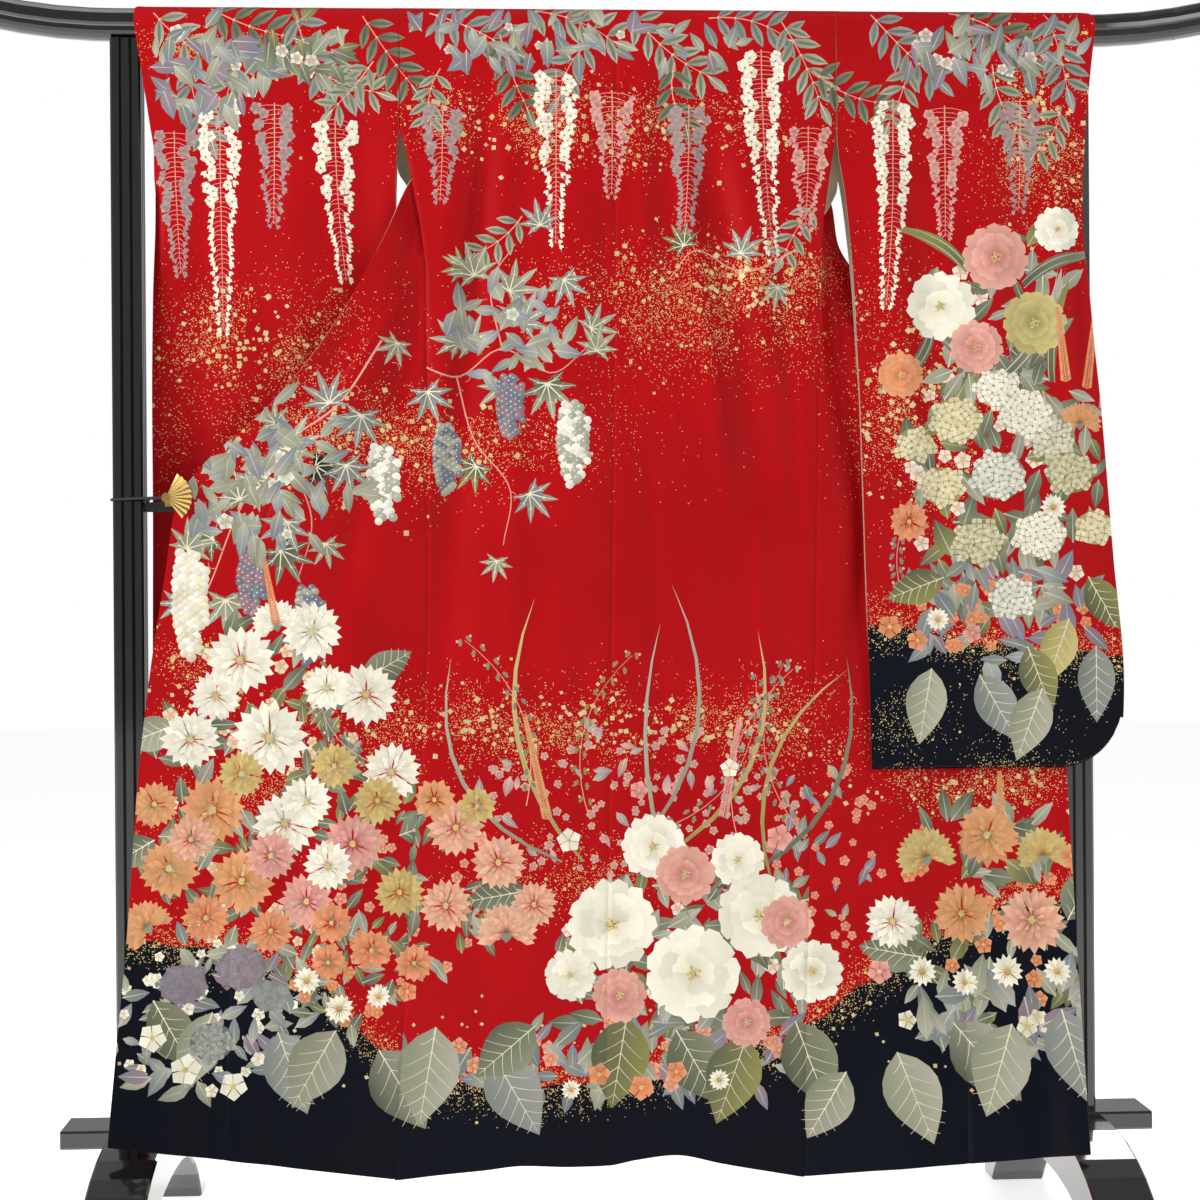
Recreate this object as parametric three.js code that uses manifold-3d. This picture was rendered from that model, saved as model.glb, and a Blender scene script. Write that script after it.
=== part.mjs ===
import * as THREE from "three";
import Module from "manifold-3d";

// Millimetres, +Z up. The garment's back faces -Y; it hangs by its sleeves on the stand's top rail.
const CLOTH_WALL = 1.6;
const SEAM_GAP = 0.3;
const RAIL_HEIGHT = 46;
const RAIL_TOP = 1779;
const RAIL_HALF_LENGTH = 930;
const RAIL_END_RISE = 33;
const RAIL_FLAT_HALF = 700;
const POST_SIDE = 43;
const POST_X = 681;
const MID_RAIL_Z = 1068;
const MID_RAIL_HEIGHT = 14;
const MID_RAIL_DEPTH = 14;
const PLANK_LENGTH = 1556;
const PLANK_DEPTH = 89;
const PLANK_BOTTOM = 163;
const PLANK_TOP = 189;
const FOOT_WIDTH = 83;
const FOOT_X = 668;
const COLLAR_WIDTH = 52;
const SLEEVE_CLOSED_BELOW = 1530;
const SLEEVE_CORNER = 85;
const CORD_DIAMETER = 3.6;
const CLOTH_SHIFT_X = -11;

const group = new THREE.Group();
const wasm = await Module();
wasm.setup();

const LACQUER = { color: 0x0b0b0d, roughness: 0.18, metalness: 0 };
const CLOTH = { color: 0xa8060c, roughness: 0.5, metalness: 0 };
const BRASS = { color: 0xb8893a, roughness: 0.25, metalness: 1 };
const CORD = { color: 0x0c0c0e, roughness: 0.7, metalness: 0 };

const clamp = (v, a, b) => Math.min(b, Math.max(a, v));
const mix = (a, b, t) => a + (b - a) * t;
const bump = (x, c, w) => Math.exp(-(((x - c) / w) ** 2));
const ease = (v, a, b) => {
  const t = clamp((v - a) / (b - a), 0, 1);
  return t * t * (3 - 2 * t);
};

// Smooth value of column col of a table whose first column rises or falls steadily.
function at(rows, k, col = 1) {
  const n = rows.length;
  const down = rows[n - 1][0] < rows[0][0];
  let i = 0;
  while (i < n - 2 && (down ? k < rows[i + 1][0] : k > rows[i + 1][0])) i++;
  const rate = (j) => (rows[j + 1][col] - rows[j][col]) / (rows[j + 1][0] - rows[j][0]);
  const slope = (j) => {
    if (j === 0 || j === n - 1) return rate(Math.min(j, n - 2));
    const [a, b] = [rate(j - 1), rate(j)];
    return a * b <= 0 ? 0 : (2 * a * b) / (a + b);
  };
  const h = rows[i + 1][0] - rows[i][0];
  const t = clamp((k - rows[i][0]) / h, 0, 1);
  const t2 = t * t;
  const t3 = t2 * t;
  return (
    (2 * t3 - 3 * t2 + 1) * rows[i][col] +
    (t3 - 2 * t2 + t) * h * slope(i) +
    (3 * t2 - 2 * t3) * rows[i + 1][col] +
    (t3 - t2) * h * slope(i + 1)
  );
}

function add(name, geometry, look) {
  if (look === CLOTH) geometry.translate(CLOTH_SHIFT_X, 0, 0);
  const mesh = new THREE.Mesh(geometry, new THREE.MeshStandardMaterial(look));
  mesh.name = name;
  group.add(mesh);
  return mesh;
}

function bodyOf(points, faces) {
  const g = new THREE.BufferGeometry();
  g.setAttribute("position", new THREE.Float32BufferAttribute(points.flat(), 3));
  g.setIndex(faces.flat());
  g.computeVertexNormals();
  return g;
}

// Both skins of a cloth wall from the rows of points of its middle surface; square(i, j) marks
// the points whose rim stays square to X, so that two pieces meet along a seam with an even gap.
function skins(grid, thick, ringed = false, square = () => false, normals = null) {
  const ni = grid.length - 1;
  const nj = grid[0].length - 1;
  const out = [[], []];
  for (let i = 0; i <= ni; i++) {
    out[0].push([]);
    out[1].push([]);
    for (let j = 0; j <= nj; j++) {
      const w = ringed ? grid[0].length : 0;
      const a = ringed ? grid[i][(j + 1) % w] : grid[i][Math.min(j + 1, nj)];
      const b = ringed ? grid[i][(j - 1 + w) % w] : grid[i][Math.max(j - 1, 0)];
      const c = grid[Math.min(i + 1, ni)][j];
      const d = grid[Math.max(i - 1, 0)][j];
      const across = a.map((v, k) => v - b[k]);
      const along = c.map((v, k) => v - d[k]);
      const n = new THREE.Vector3(...across).cross(new THREE.Vector3(...along));
      const given = normals && normals[i] && normals[i][j];
      if (given) n.copy(given.dot(n) < 0 ? given.clone().negate() : given);
      if (square(i, j)) n.x = 0;
      n.normalize();
      const t = typeof thick === "function" ? thick(i, j) : thick;
      const p = grid[i][j];
      out[0][i].push([p[0] + (n.x * t) / 2, p[1] + (n.y * t) / 2, p[2] + (n.z * t) / 2]);
      out[1][i].push([p[0] - (n.x * t) / 2, p[1] - (n.y * t) / 2, p[2] - (n.z * t) / 2]);
    }
  }
  return out;
}

function quad(faces, a, b, c, d) {
  faces.push([a, b, c], [a, c, d]);
}

// Closed body of a sheet: rows go down it, columns across it.
function sheet(grid, thick = CLOTH_WALL, square = undefined, normals = null) {
  const [upper, lower] = skins(grid, thick, false, square, normals);
  const ni = grid.length - 1;
  const nj = grid[0].length - 1;
  const points = [...upper.flat(), ...lower.flat()];
  const half = (ni + 1) * (nj + 1);
  const id = (i, j) => i * (nj + 1) + j;
  const faces = [];
  for (let i = 0; i < ni; i++) {
    for (let j = 0; j < nj; j++) {
      quad(faces, id(i, j), id(i, j + 1), id(i + 1, j + 1), id(i + 1, j));
      quad(faces, half + id(i, j), half + id(i + 1, j), half + id(i + 1, j + 1), half + id(i, j + 1));
    }
  }
  const rim = [];
  for (let j = 0; j < nj; j++) rim.push(id(0, j));
  for (let i = 0; i < ni; i++) rim.push(id(i, nj));
  for (let j = nj; j > 0; j--) rim.push(id(ni, j));
  for (let i = ni; i > 0; i--) rim.push(id(i, 0));
  rim.forEach((a, k) => {
    const b = rim[(k + 1) % rim.length];
    quad(faces, b, a, half + a, half + b);
  });
  return bodyOf(points, faces);
}

// ---------------------------------------------------------------- body shape
// Where the cloth lies over the rail, from behind it to in front of it.
const OVER_RAIL = [
  // [y, z]
  [21.8, 1755],
  [21.2, 1766],
  [17.2, 1775.4],
  [9.8, 1779.2],
  [0, 1780.1],
  [-9.8, 1779.2],
  [-17.2, 1775.4],
  [-21.2, 1766],
  [-22.6, 1755],
  [-23.8, 1742],
];
const railRise = (x) => RAIL_END_RISE * clamp((Math.abs(x) - RAIL_FLAT_HALF) / (RAIL_HALF_LENGTH - RAIL_FLAT_HALF), 0, 1) ** 2;

const BACK_EDGES = [
  // [z, left side x, centre seam x, right side x]
  [1782, -283, 29, 344],
  [1602, -283, 26.3, 343],
  [1586, -277, 26.1, 341],
  [1521, -264, 25, 331],
  [1460, -253.5, 24, 323],
  [1385, -246.5, 22.8, 319.5],
  [1217, -246.5, 20, 315],
  [933, -247, 15, 308],
  [509, -273, 6.5, 293],
  [130, -298, -1, 282],
];
const HEM = [
  // [x, z]
  [-303, 116],
  [-174, 128],
  [-117, 134],
  [-45, 131],
  [-2, 131],
  [43, 138],
  [99, 144],
  [163, 132],
  [280, 110],
];
const FOLDS = [
  // [x at top, x at foot, depth away from the viewer, half width, z top, z foot]
  [-152, -238, 11, 30, 1690, 720],
  [150, 258, 12, 30, 1640, 980],
  [-95, -120, 4.5, 22, 1700, 1180],
  [96, 104, 5, 20, 1700, 1250],
  [-20, -40, -4, 42, 1640, 700],
  [205, 268, -5, 26, 1600, 900],
  [-205, -222, -5, 24, 1560, 1250],
];
const HEM_WAVES = [
  // [x, depth, half width]
  [-235, 5, 46],
  [-95, -5, 60],
  [60, 5, 50],
  [190, -5, 52],
];

function foldDepth(x, z, folds) {
  let y = 0;
  for (const [xt, xf, depth, width, zt, zf] of folds) {
    const t = (zt - z) / (zt - zf);
    const live = ease(t, -0.06, 0.16) * (1 - ease(t, 0.72, 1.08));
    y += depth * live * bump(x, mix(xt, xf, clamp(t, 0, 1)), width * mix(0.75, 1.25, clamp(t, 0, 1)));
  }
  return y;
}
const backPlane = (z) => -24 - (32 * (1755 - z)) / 1605;
function backY(x, z) {
  let y = backPlane(z) + foldDepth(x, z, FOLDS);
  const low = 1 - ease(z, 160, 620);
  for (const [c, d, w] of HEM_WAVES) y -= Math.abs(d) * 0.4 * low - d * 0.6 * low * bump(x, c, w);
  return y;
}

const BACK_LEVELS = 24;
// Height of a back panel's row number k below the rail, at the line that runs through x at chest height.
const backLevel = (x, k) => mix(1742, at(HEM, clamp(x, -303, 280)), k / BACK_LEVELS);

function backPanel(name, leftCol, rightCol, leftGap, rightGap, columns) {
  const grid = [];
  for (let i = 0; i < OVER_RAIL.length + BACK_LEVELS; i++) {
    const row = [];
    for (let j = 0; j <= columns; j++) {
      const s = j / columns;
      if (i < OVER_RAIL.length) {
        const [y, z] = OVER_RAIL[i];
        row.push([mix(at(BACK_EDGES, z, leftCol) + leftGap, at(BACK_EDGES, z, rightCol) - rightGap, s), y, z]);
      } else {
        const f = (i - OVER_RAIL.length + 1) / BACK_LEVELS;
        const x0 = mix(at(BACK_EDGES, 1000, leftCol), at(BACK_EDGES, 1000, rightCol), s);
        let z = backLevel(x0, i - OVER_RAIL.length + 1);
        const x = mix(at(BACK_EDGES, z, leftCol) + leftGap, at(BACK_EDGES, z, rightCol) - rightGap, s);
        if (f === 1) z = at(HEM, clamp(x, -303, 280));
        row.push([x, backY(x, z) * ease(f, -0.05, 0.03) + (1 - ease(f, -0.05, 0.03)) * -23.8, z]);
      }
    }
    grid.push(row);
  }
  return add(name, sheet(grid, CLOTH_WALL, (i, j) => j === 0 || j === columns), CLOTH);
}
backPanel("back_left", 1, 2, 0, SEAM_GAP / 2, 11);
backPanel("back_right", 2, 3, SEAM_GAP / 2, 0, 11);

// --------------------------------------------------------------- front shape
// Each front is drawn out to its side: t runs down it; the side line is sewn to the back below the
// armhole, the free edge carries the collar and, below it, the overlap panel.
const FRONT_LEFT = [
  // [t, side x, side y, side z, free x, free y, free z]
  [0.0, -282.8, 21.8, 1754.7, -56, 23, 1754.7],
  [0.06, -282.8, 22, 1700, -98, 29, 1704],
  [0.12, -282.8, 20, 1636, -152, 31, 1652],
  [0.17, -281, 17, 1580, -204, 22, 1606],
  [0.21, -268, 9, 1527, -246, 0, 1562],
  [0.25, -259, -10, 1466, -272, -28, 1519],
  [0.29, 0, 0, 1412, -296, -46, 1466],
  [0.35, 0, 0, 1318, -342, -54, 1376],
  [0.41, 0, 0, 1222, -402, -59, 1284],
  [0.47, 0, 0, 1128, -474, -64, 1200],
  [0.53, 0, 0, 1040, -560, -68, 1122],
  [0.57, 0, 0, 985, -595, -70, 1071],
  [0.63, 0, 0, 900, -612, -69, 970],
  [0.7, 0, 0, 780, -635, -68, 824],
  [0.78, 0, 0, 620, -654, -67, 656],
  [0.88, 0, 0, 410, -667, -85, 450],
  [0.94, 0, 0, 270, -677, -112, 316],
  [1.0, 0, 0, 118, -682, -160, 193],
];
const FRONT_RIGHT = [
  [0.0, 343.8, 21.8, 1754.7, 114, 23, 1754.7],
  [0.06, 343.5, 22, 1700, 156, 30, 1704],
  [0.12, 343, 20, 1636, 210, 33, 1652],
  [0.17, 342, 17, 1580, 262, 32, 1606],
  [0.21, 333, 9, 1527, 312, 30, 1556],
  [0.25, 325, -10, 1466, 345, 25, 1500],
  [0.29, 0, 0, 1412, 350, 17, 1452],
  [0.35, 0, 0, 1318, 398, 6, 1374],
  [0.41, 0, 0, 1222, 462, -7, 1290],
  [0.47, 0, 0, 1128, 535, -17, 1206],
  [0.53, 0, 0, 1040, 615, -24.6, 1124],
  [0.57, 0, 0, 985, 648, -25, 1075],
  [0.63, 0, 0, 900, 660, -27, 940],
  [0.7, 0, 0, 780, 666, -36, 780],
  [0.76, 0, 0, 660, 668, -45, 675],
  [0.86, 0, 0, 440, 672, -72, 465],
  [0.93, 0, 0, 280, 665, -135, 310],
  [1.0, 0, 0, 111, 654, -210, 170],
];
const SEWN_FROM_T = 0.275;
const COLLAR_END_T = 0.572;
const OKUMI_TOP_T = 0.44;
const OKUMI_SEAM = [
  // [t, share of the width left, right]
  [0.44, 0.78, 0.8],
  [0.5, 0.66, 0.68],
  [0.56, 0.655, 0.655],
  [0.63, 0.668, 0.63],
  [0.8, 0.65, 0.59],
  [1.0, 0.605, 0.582],
];
const FRONT_FOLDS = {
  left: [
    // [share at top, share at foot, depth, half width in mm, t top, t foot]
    [0.2, 0.34, 7, 22, 0.28, 0.66],
    [0.55, 0.62, -7, 26, 0.3, 0.6],
    [0.82, 0.8, 5, 20, 0.34, 0.54],
    [0.3, 0.25, -5, 34, 0.55, 0.95],
    [0.72, 0.66, 6, 34, 0.66, 1.05],
    [0.42, 0.45, 4, 26, 0.7, 1.05],
  ],
  right: [
    [0.3, 0.16, 9, 20, 0.27, 0.7],
    [0.62, 0.4, -6, 26, 0.3, 0.7],
    [0.8, 0.62, 5, 28, 0.45, 0.95],
    [0.34, 0.36, -5, 30, 0.62, 1.05],
    [0.85, 0.86, 5, 24, 0.66, 1.05],
  ],
};

const sideOf = { left: -1, right: 1 };
const tableOf = { left: FRONT_LEFT, right: FRONT_RIGHT };

// A point of a front's surface: u runs from the side line (0) to the free edge (1).
function frontPoint(side, t, u) {
  const rows = tableOf[side];
  const col = side === "left" ? 1 : 3;
  const seam = (z) => at(BACK_EDGES, z, col) + sideOf[side] * SEAM_GAP;
  const zs = at(rows, t, 3);
  const loose = rows.filter((r) => r[0] <= 0.25).concat([[SEWN_FROM_T + 0.015, seam(1412), backY(seam(1412), 1412)]]);
  const sewn = t > SEWN_FROM_T + 0.015;
  const sx = sewn ? seam(zs) : at(loose, t, 1);
  const sy = sewn ? backY(at(BACK_EDGES, zs, col), zs) : at(loose, t, 2);
  const x = mix(sx, at(rows, t, 4), u);
  const z = mix(zs, at(rows, t, 6), u);
  const width = Math.hypot(at(rows, t, 4) - sx, at(rows, t, 6) - zs);
  let y = mix(sy, at(rows, t, 5), u);
  for (const [ut, uf, depth, half, tt, tf] of FRONT_FOLDS[side]) {
    const s = (t - tt) / (tf - tt);
    const live = ease(s, -0.05, 0.25) * (1 - ease(s, 0.75, 1.05)) * ease(u, 0, 0.12) * (1 - ease(u, 0.9, 1) * 0.6);
    y += depth * live * bump(u * width, mix(ut, uf, clamp(s, 0, 1)) * width, half);
  }
  return [x, y, z];
}
function frontNormal(side, t, u) {
  const e = 0.004;
  const p = (a, b) => new THREE.Vector3(...frontPoint(side, clamp(a, 0, 1), b));
  return p(t, u + e).sub(p(t, u - e)).cross(p(t + e, u).sub(p(t - e, u))).normalize();
}
// Rows of points and of normals over a stretch of a front: shares(t) gives the two ends of a row.
function frontGrid(side, steps, shares, columns) {
  const rows = steps.map((t) => {
    const [from, to] = shares(t);
    const row = [];
    for (let j = 0; j <= columns; j++) row.push([t, mix(from, to, j / columns)]);
    return side === "left" ? row.reverse() : row;
  });
  return {
    grid: rows.map((row) => row.map(([t, u]) => frontPoint(side, t, u))),
    normals: rows.map((row) => row.map(([t, u]) => frontNormal(side, t, u))),
  };
}
function frontWidth(side, t) {
  const [a, b] = [frontPoint(side, t, 0), frontPoint(side, t, 1)];
  return Math.hypot(a[0] - b[0], a[1] - b[1], a[2] - b[2]);
}
// Share of the width where the collar is sewn on.
const collarShare = (side, t) => 1 - clamp(COLLAR_WIDTH / frontWidth(side, t), 0.05, 0.62);
// Half a seam gap as a share of the width; wider where the front twists and its rows run slantwise.
const shareGap = (side, t) => ((SEAM_GAP / 2) * (1 + 14 * bump(t, 0.22, 0.075))) / frontWidth(side, t);

// Rows of a front: by hand above the side seam, then level with the back panel's rows along it.
function frontSteps(side) {
  const rows = tableOf[side];
  const edge = at(BACK_EDGES, 1000, side === "left" ? 1 : 3);
  const steps = [0, 0.03, 0.06, 0.09, 0.12, 0.145, 0.17, 0.19, 0.21, 0.23, 0.25, 0.27];
  for (let k = 1; k < BACK_LEVELS; k++) {
    const z = backLevel(edge, k);
    if (z > 1425) continue;
    let [lo, hi] = [0.27, 1];
    for (let n = 0; n < 40; n++) {
      const t = (lo + hi) / 2;
      if (at(rows, t, 3) > z) lo = t;
      else hi = t;
    }
    steps.push(lo);
  }
  steps.push(1);
  return steps;
}
const stepsOf = { left: frontSteps("left"), right: frontSteps("right") };
const okumiTop = (side) => stepsOf[side].find((t) => t > OKUMI_TOP_T);
const collarEnd = (side) => stepsOf[side].findLast((t) => t < COLLAR_END_T);
function okumiShare(side, t) {
  const top = okumiTop(side);
  const share = at(OKUMI_SEAM, t, side === "left" ? 1 : 2);
  return Math.min(share, collarShare(side, Math.max(t, top)) - 4 / frontWidth(side, t));
}

function frontPanel(side, columns) {
  const steps = stepsOf[side];
  const edge = (t) => (t < okumiTop(side) ? collarShare(side, t) : okumiShare(side, t)) - shareGap(side, t);
  const { grid, normals } = frontGrid(side, steps, (t) => [0, edge(t)], columns);
  const sewn = (i, j) => steps[i] > SEWN_FROM_T && j === (side === "right" ? 0 : columns);
  return add("front_" + side, sheet(grid, CLOTH_WALL, sewn, normals), CLOTH);
}
frontPanel("left", 7);
frontPanel("right", 7);

function okumi(side, columns) {
  const end = collarEnd(side);
  const steps = stepsOf[side].filter((t) => t >= okumiTop(side));
  steps.splice(steps.indexOf(end) + 1, 0, end + 0.0015);
  const ends = (t) => {
    const gap = shareGap(side, t);
    return [okumiShare(side, t) + gap, t <= end ? collarShare(side, t) - gap : 1];
  };
  const { grid, normals } = frontGrid(side, steps, ends, columns);
  return add("okumi_" + side, sheet(grid, CLOTH_WALL, undefined, normals), CLOTH);
}
okumi("left", 5);
okumi("right", 5);

// The collar band: up one free edge, along the back of the neck behind the rail, down the other.
function collar() {
  const rows = [];
  const steps = { left: stepsOf.left.filter((t) => t > 0.05 && t <= collarEnd("left")), right: stepsOf.right.filter((t) => t > 0.05 && t <= collarEnd("right")) };
  const normals = [];
  const band = (side, t) => {
    const from = collarShare(side, t) + shareGap(side, t);
    const shares = [0, 0.5, 1].map((s) => mix(from, 1, s));
    rows.push(shares.map((u) => frontPoint(side, t, u)));
    normals.push(shares.map((u) => frontNormal(side, t, u)));
  };
  for (const t of [...steps.left].reverse()) band("left", t);
  const across = (x, xq, zq) => [
    [x, 21.8, 1754.4],
    [mix(x, xq, 0.5), 24.5, mix(1754.4, zq, 0.5)],
    [xq, 28.5, zq],
  ];
  rows.push(across(-86, -80, 1705), across(-40, -44, 1700), across(29, 29, 1698), across(98, 102, 1700), across(144, 138, 1705));
  for (let k = 0; k < 5; k++) normals.push(null);
  for (const t of steps.right) band("right", t);
  return add("collar", sheet(rows, CLOTH_WALL, undefined, normals), CLOTH);
}
collar();

// ------------------------------------------------------------------- sleeves
const SLEEVE_LEFT = [
  // [z, inner x, outer x front, outer x behind, inner y front, outer y front, inner y behind, outer y behind]
  [1755, -283.4, -657, -640, -22.6, -22.6, 21.8, 21.8],
  [1742, -283.4, -655, -640, -23.8, -23.8, 22, 22],
  [1602, -283.4, -634, -636, -27, -24, 21, 21],
  [1573, -286.5, -630, -632, -27.4, -22, 20.5, 20.5],
  [1500, -289, -631, -632, -21, -13, 20, 19],
  [1360, -288, -637, -637, -8, 2, 20, 15],
  [1200, -286, -640, -640, 6, 12, 21, 16],
  [1077, -284, -640, -640, 12, 13.5, 22, 17],
  [936, -282, -641, -641, 13, 14, 23, 17.5],
  [794, -281, -642, -642, 13, 14, 23, 17.5],
  [688, -280, -641, -641, 13, 14, 22, 17.5],
];
const SLEEVE_RIGHT = [
  [1755, 344.4, 723, 650, -22.6, -22.6, 21.8, 21.8],
  [1742, 344.4, 721, 650, -23.8, -23.8, 22, 22],
  [1602, 344.4, 706, 648, -26.8, -27, 19, 19],
  [1573, 346, 704, 648, -27.4, -28, 15, 10],
  [1520, 354, 700, 650, -30, -32, 6, -27],
  [1460, 360, 700, 697, -33.5, -34.5, -4, -31],
  [1372, 366, 708, 708, -38, -36.5, -17, -33],
  [1287, 369, 715, 715, -42, -38.5, -29, -35],
  [1214, 372, 722, 722, -45, -40, -37, -36.5],
  [983, 377, 739, 739, -52, -43, -45, -39.5],
  [811, 381, 752, 752, -56, -46, -49, -42.5],
  [684, 383, 746, 746, -59, -48, -52, -44.5],
];
const SLEEVE_FOLDS = {
  left: [
    // [share across at top, at foot, depth, half width, z top, z foot]
    [0.16, 0.12, 5, 26, 1700, 1300],
    [0.42, 0.4, -5, 34, 1680, 1000],
    [0.78, 0.82, 4, 28, 1700, 900],
  ],
  right: [
    [0.16, 0.2, -7, 26, 1640, 1100],
    [0.34, 0.3, 5, 24, 1560, 900],
    [0.62, 0.58, -5, 34, 1690, 1000],
    [0.9, 0.88, -6, 22, 1560, 1180],
    [0.45, 0.5, 5, 30, 1000, 640],
    [0.76, 0.72, -5, 30, 1050, 640],
  ],
};

function sleevePoint(side, v, z, behind) {
  const rows = side === "left" ? SLEEVE_LEFT : SLEEVE_RIGHT;
  const inner = at(rows, z, 1);
  const outer = at(rows, z, behind ? 3 : 2);
  const x = mix(inner, outer, v);
  const [yi, yo] = behind ? [at(rows, z, 6), at(rows, z, 7)] : [at(rows, z, 4), at(rows, z, 5)];
  let y = mix(yi, yo, behind ? v ** 1.6 : v);
  const width = Math.abs(outer - inner);
  for (const [vt, vf, depth, half, zt, zf] of SLEEVE_FOLDS[side]) {
    const s = (zt - z) / (zt - zf);
    const live = ease(s, -0.05, 0.25) * (1 - ease(s, 0.75, 1.05)) * ease(v, 0, 0.08) * (1 - ease(v, 0.93, 1));
    y += (behind ? 0.6 : 1) * depth * live * bump(v * width, mix(vt, vf, clamp(s, 0, 1)) * width, half);
  }
  return [x, y, z];
}

// One loop of cloth per ring, inner edge to outer edge; below the cuff the outer edge is shut.
function sleeve(side, columns) {
  const sign = sideOf[side];
  const outerX = Math.abs(at(side === "left" ? SLEEVE_LEFT : SLEEVE_RIGHT, 700, 2));
  const bottom = (x) => {
    const over = Math.abs(x) - (outerX - SLEEVE_CORNER);
    const flat = side === "left" ? 690 : 687;
    return over > 0 ? flat + SLEEVE_CORNER - Math.sqrt(SLEEVE_CORNER ** 2 - Math.min(over, SLEEVE_CORNER * 0.985) ** 2) : flat;
  };
  const low = 14;
  const grid = [];
  const shares = [];
  for (let c = 0; c <= columns; c++) shares.push(c / columns);
  shares.splice(columns, 0, 1 - 0.45 / columns);
  shares.splice(columns, 0, 1 - 0.75 / columns);
  for (const v of shares) {
    const ring = [];
    const down = (behind) => {
      const side3 = [];
      for (let k = 1; k <= low; k++) {
        const x0 = sleevePoint(side, v, 760, behind)[0];
        const floor = bottom(x0) + 3;
        const z = mix(1742, floor, (k / low) ** 0.94);
        side3.push(sleevePoint(side, v, z, behind));
      }
      return side3;
    };
    const front = down(false);
    const rear = down(true);
    ring.push(...front.reverse());
    for (let k = OVER_RAIL.length - 1; k >= 0; k--) {
      const [y, z] = OVER_RAIL[k];
      const share = clamp((y + 20) / 40, 0, 1);
      const rows = side === "left" ? SLEEVE_LEFT : SLEEVE_RIGHT;
      const xo = mix(rows[0][2], rows[0][3], share);
      const x = mix(rows[0][1], k === OVER_RAIL.length - 1 ? rows[1][2] : xo, v);
      ring.push([x, y, z + railRise(x + CLOTH_SHIFT_X) * ease(z, 1742, 1774)]);
    }
    ring.push(sleevePoint(side, v, 1742, true));
    ring.push(...rear);
    const [a, b] = [ring[0], ring[ring.length - 1]];
    ring.push([mix(a[0], b[0], 0.7), mix(a[1], b[1], 0.72), Math.min(a[2], b[2]) - 2.6]);
    ring.push([mix(a[0], b[0], 0.3), mix(a[1], b[1], 0.28), Math.min(a[2], b[2]) - 2.6]);
    grid.push(ring);
  }
  // Rings are numbered from the front layer's foot, over the rail, to the foot behind and the bottom fold.
  const skin = skins(grid, CLOTH_WALL, true);
  const n = grid[0].length;
  const last = grid.length - 1;
  const pair = (m) => (m === 0 ? [n - 1, n - 2] : [m - 1, n - 2 - m]);
  let shut = 0;
  while (grid[last][pair(shut + 1)[0]][2] < SLEEVE_CLOSED_BELOW) shut++;
  const inside = skin[side === "right" ? 0 : 1][last];
  for (let m = 0; m <= shut; m++) for (const j of pair(m)) inside[j][0] -= sign * 2.2;
  const points = [...skin[0].flat(), ...skin[1].flat()];
  const half = grid.length * n;
  const id = (i, j) => i * n + ((j + n) % n);
  const faces = [];
  for (let i = 0; i < last; i++) {
    for (let j = 0; j < n; j++) {
      quad(faces, id(i, j), id(i, j + 1), id(i + 1, j + 1), id(i + 1, j));
      quad(faces, half + id(i, j), half + id(i + 1, j), half + id(i + 1, j + 1), half + id(i, j + 1));
    }
  }
  for (let j = 0; j < n; j++) quad(faces, id(0, j + 1), id(0, j), half + id(0, j), half + id(0, j + 1));
  for (let m = 0; m < shut; m++) {
    const [a, b] = pair(m).map((j) => id(last, j));
    const [c, d] = pair(m + 1).map((j) => id(last, j));
    quad(faces, a, c, d, b);
    quad(faces, half + a, half + b, half + d, half + c);
  }
  const [a, b] = pair(shut).map((j) => id(last, j));
  quad(faces, b, a, half + a, half + b);
  for (let j = pair(shut)[0]; j < pair(shut)[1]; j++) {
    const [p, q] = [id(last, j), id(last, j + 1)];
    quad(faces, p, q, half + q, half + p);
  }
  return add("sleeve_" + side, bodyOf(points, faces), CLOTH);
}
sleeve("left", 7);
sleeve("right", 7);

// ----------------------------------------------------------------- the stand
// Moulded section of the top rail: [y, z] from its centre.
const RAIL_SECTION = [
  [0, 23],
  [7.5, 22],
  [13.2, 18.8],
  [17, 13],
  [18, 6],
  [17.4, 0],
  [15.8, -2.8],
  [17.2, -5.6],
  [17.6, -12],
  [15.7, -16.8],
  [10.6, -21],
  [4.2, -23],
];
function topRail() {
  const section = [...RAIL_SECTION, ...RAIL_SECTION.slice(1).reverse().map(([y, z]) => [-y, z])];
  const xs = [-930, -922, -880, -830, -780, -730, -700, 700, 730, 780, 830, 880, 922, 930];
  const points = [];
  for (const x of xs) {
    const slim = Math.abs(x) > 929 ? 0.9 : 1;
    const lift = railRise(x);
    for (const [y, z] of section) points.push([x, y * slim, RAIL_TOP - RAIL_HEIGHT / 2 + lift + z * slim]);
  }
  const n = section.length;
  const faces = [];
  for (let i = 0; i < xs.length - 1; i++)
    for (let j = 0; j < n; j++) quad(faces, i * n + j, i * n + ((j + 1) % n), (i + 1) * n + ((j + 1) % n), (i + 1) * n + j);
  const ends = [points.length, points.length + 1];
  points.push([xs[0], 0, RAIL_TOP - RAIL_HEIGHT / 2 + railRise(930)], [xs[xs.length - 1], 0, RAIL_TOP - RAIL_HEIGHT / 2 + railRise(930)]);
  const m = (xs.length - 1) * n;
  for (let j = 0; j < n; j++) {
    faces.push([ends[0], (j + 1) % n, j]);
    faces.push([ends[1], m + j, m + ((j + 1) % n)]);
  }
  const flipped = faces.map(([a, b, c]) => [a, c, b]);
  return add("top_rail", bodyOf(points, flipped), LACQUER);
}
topRail();

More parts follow.
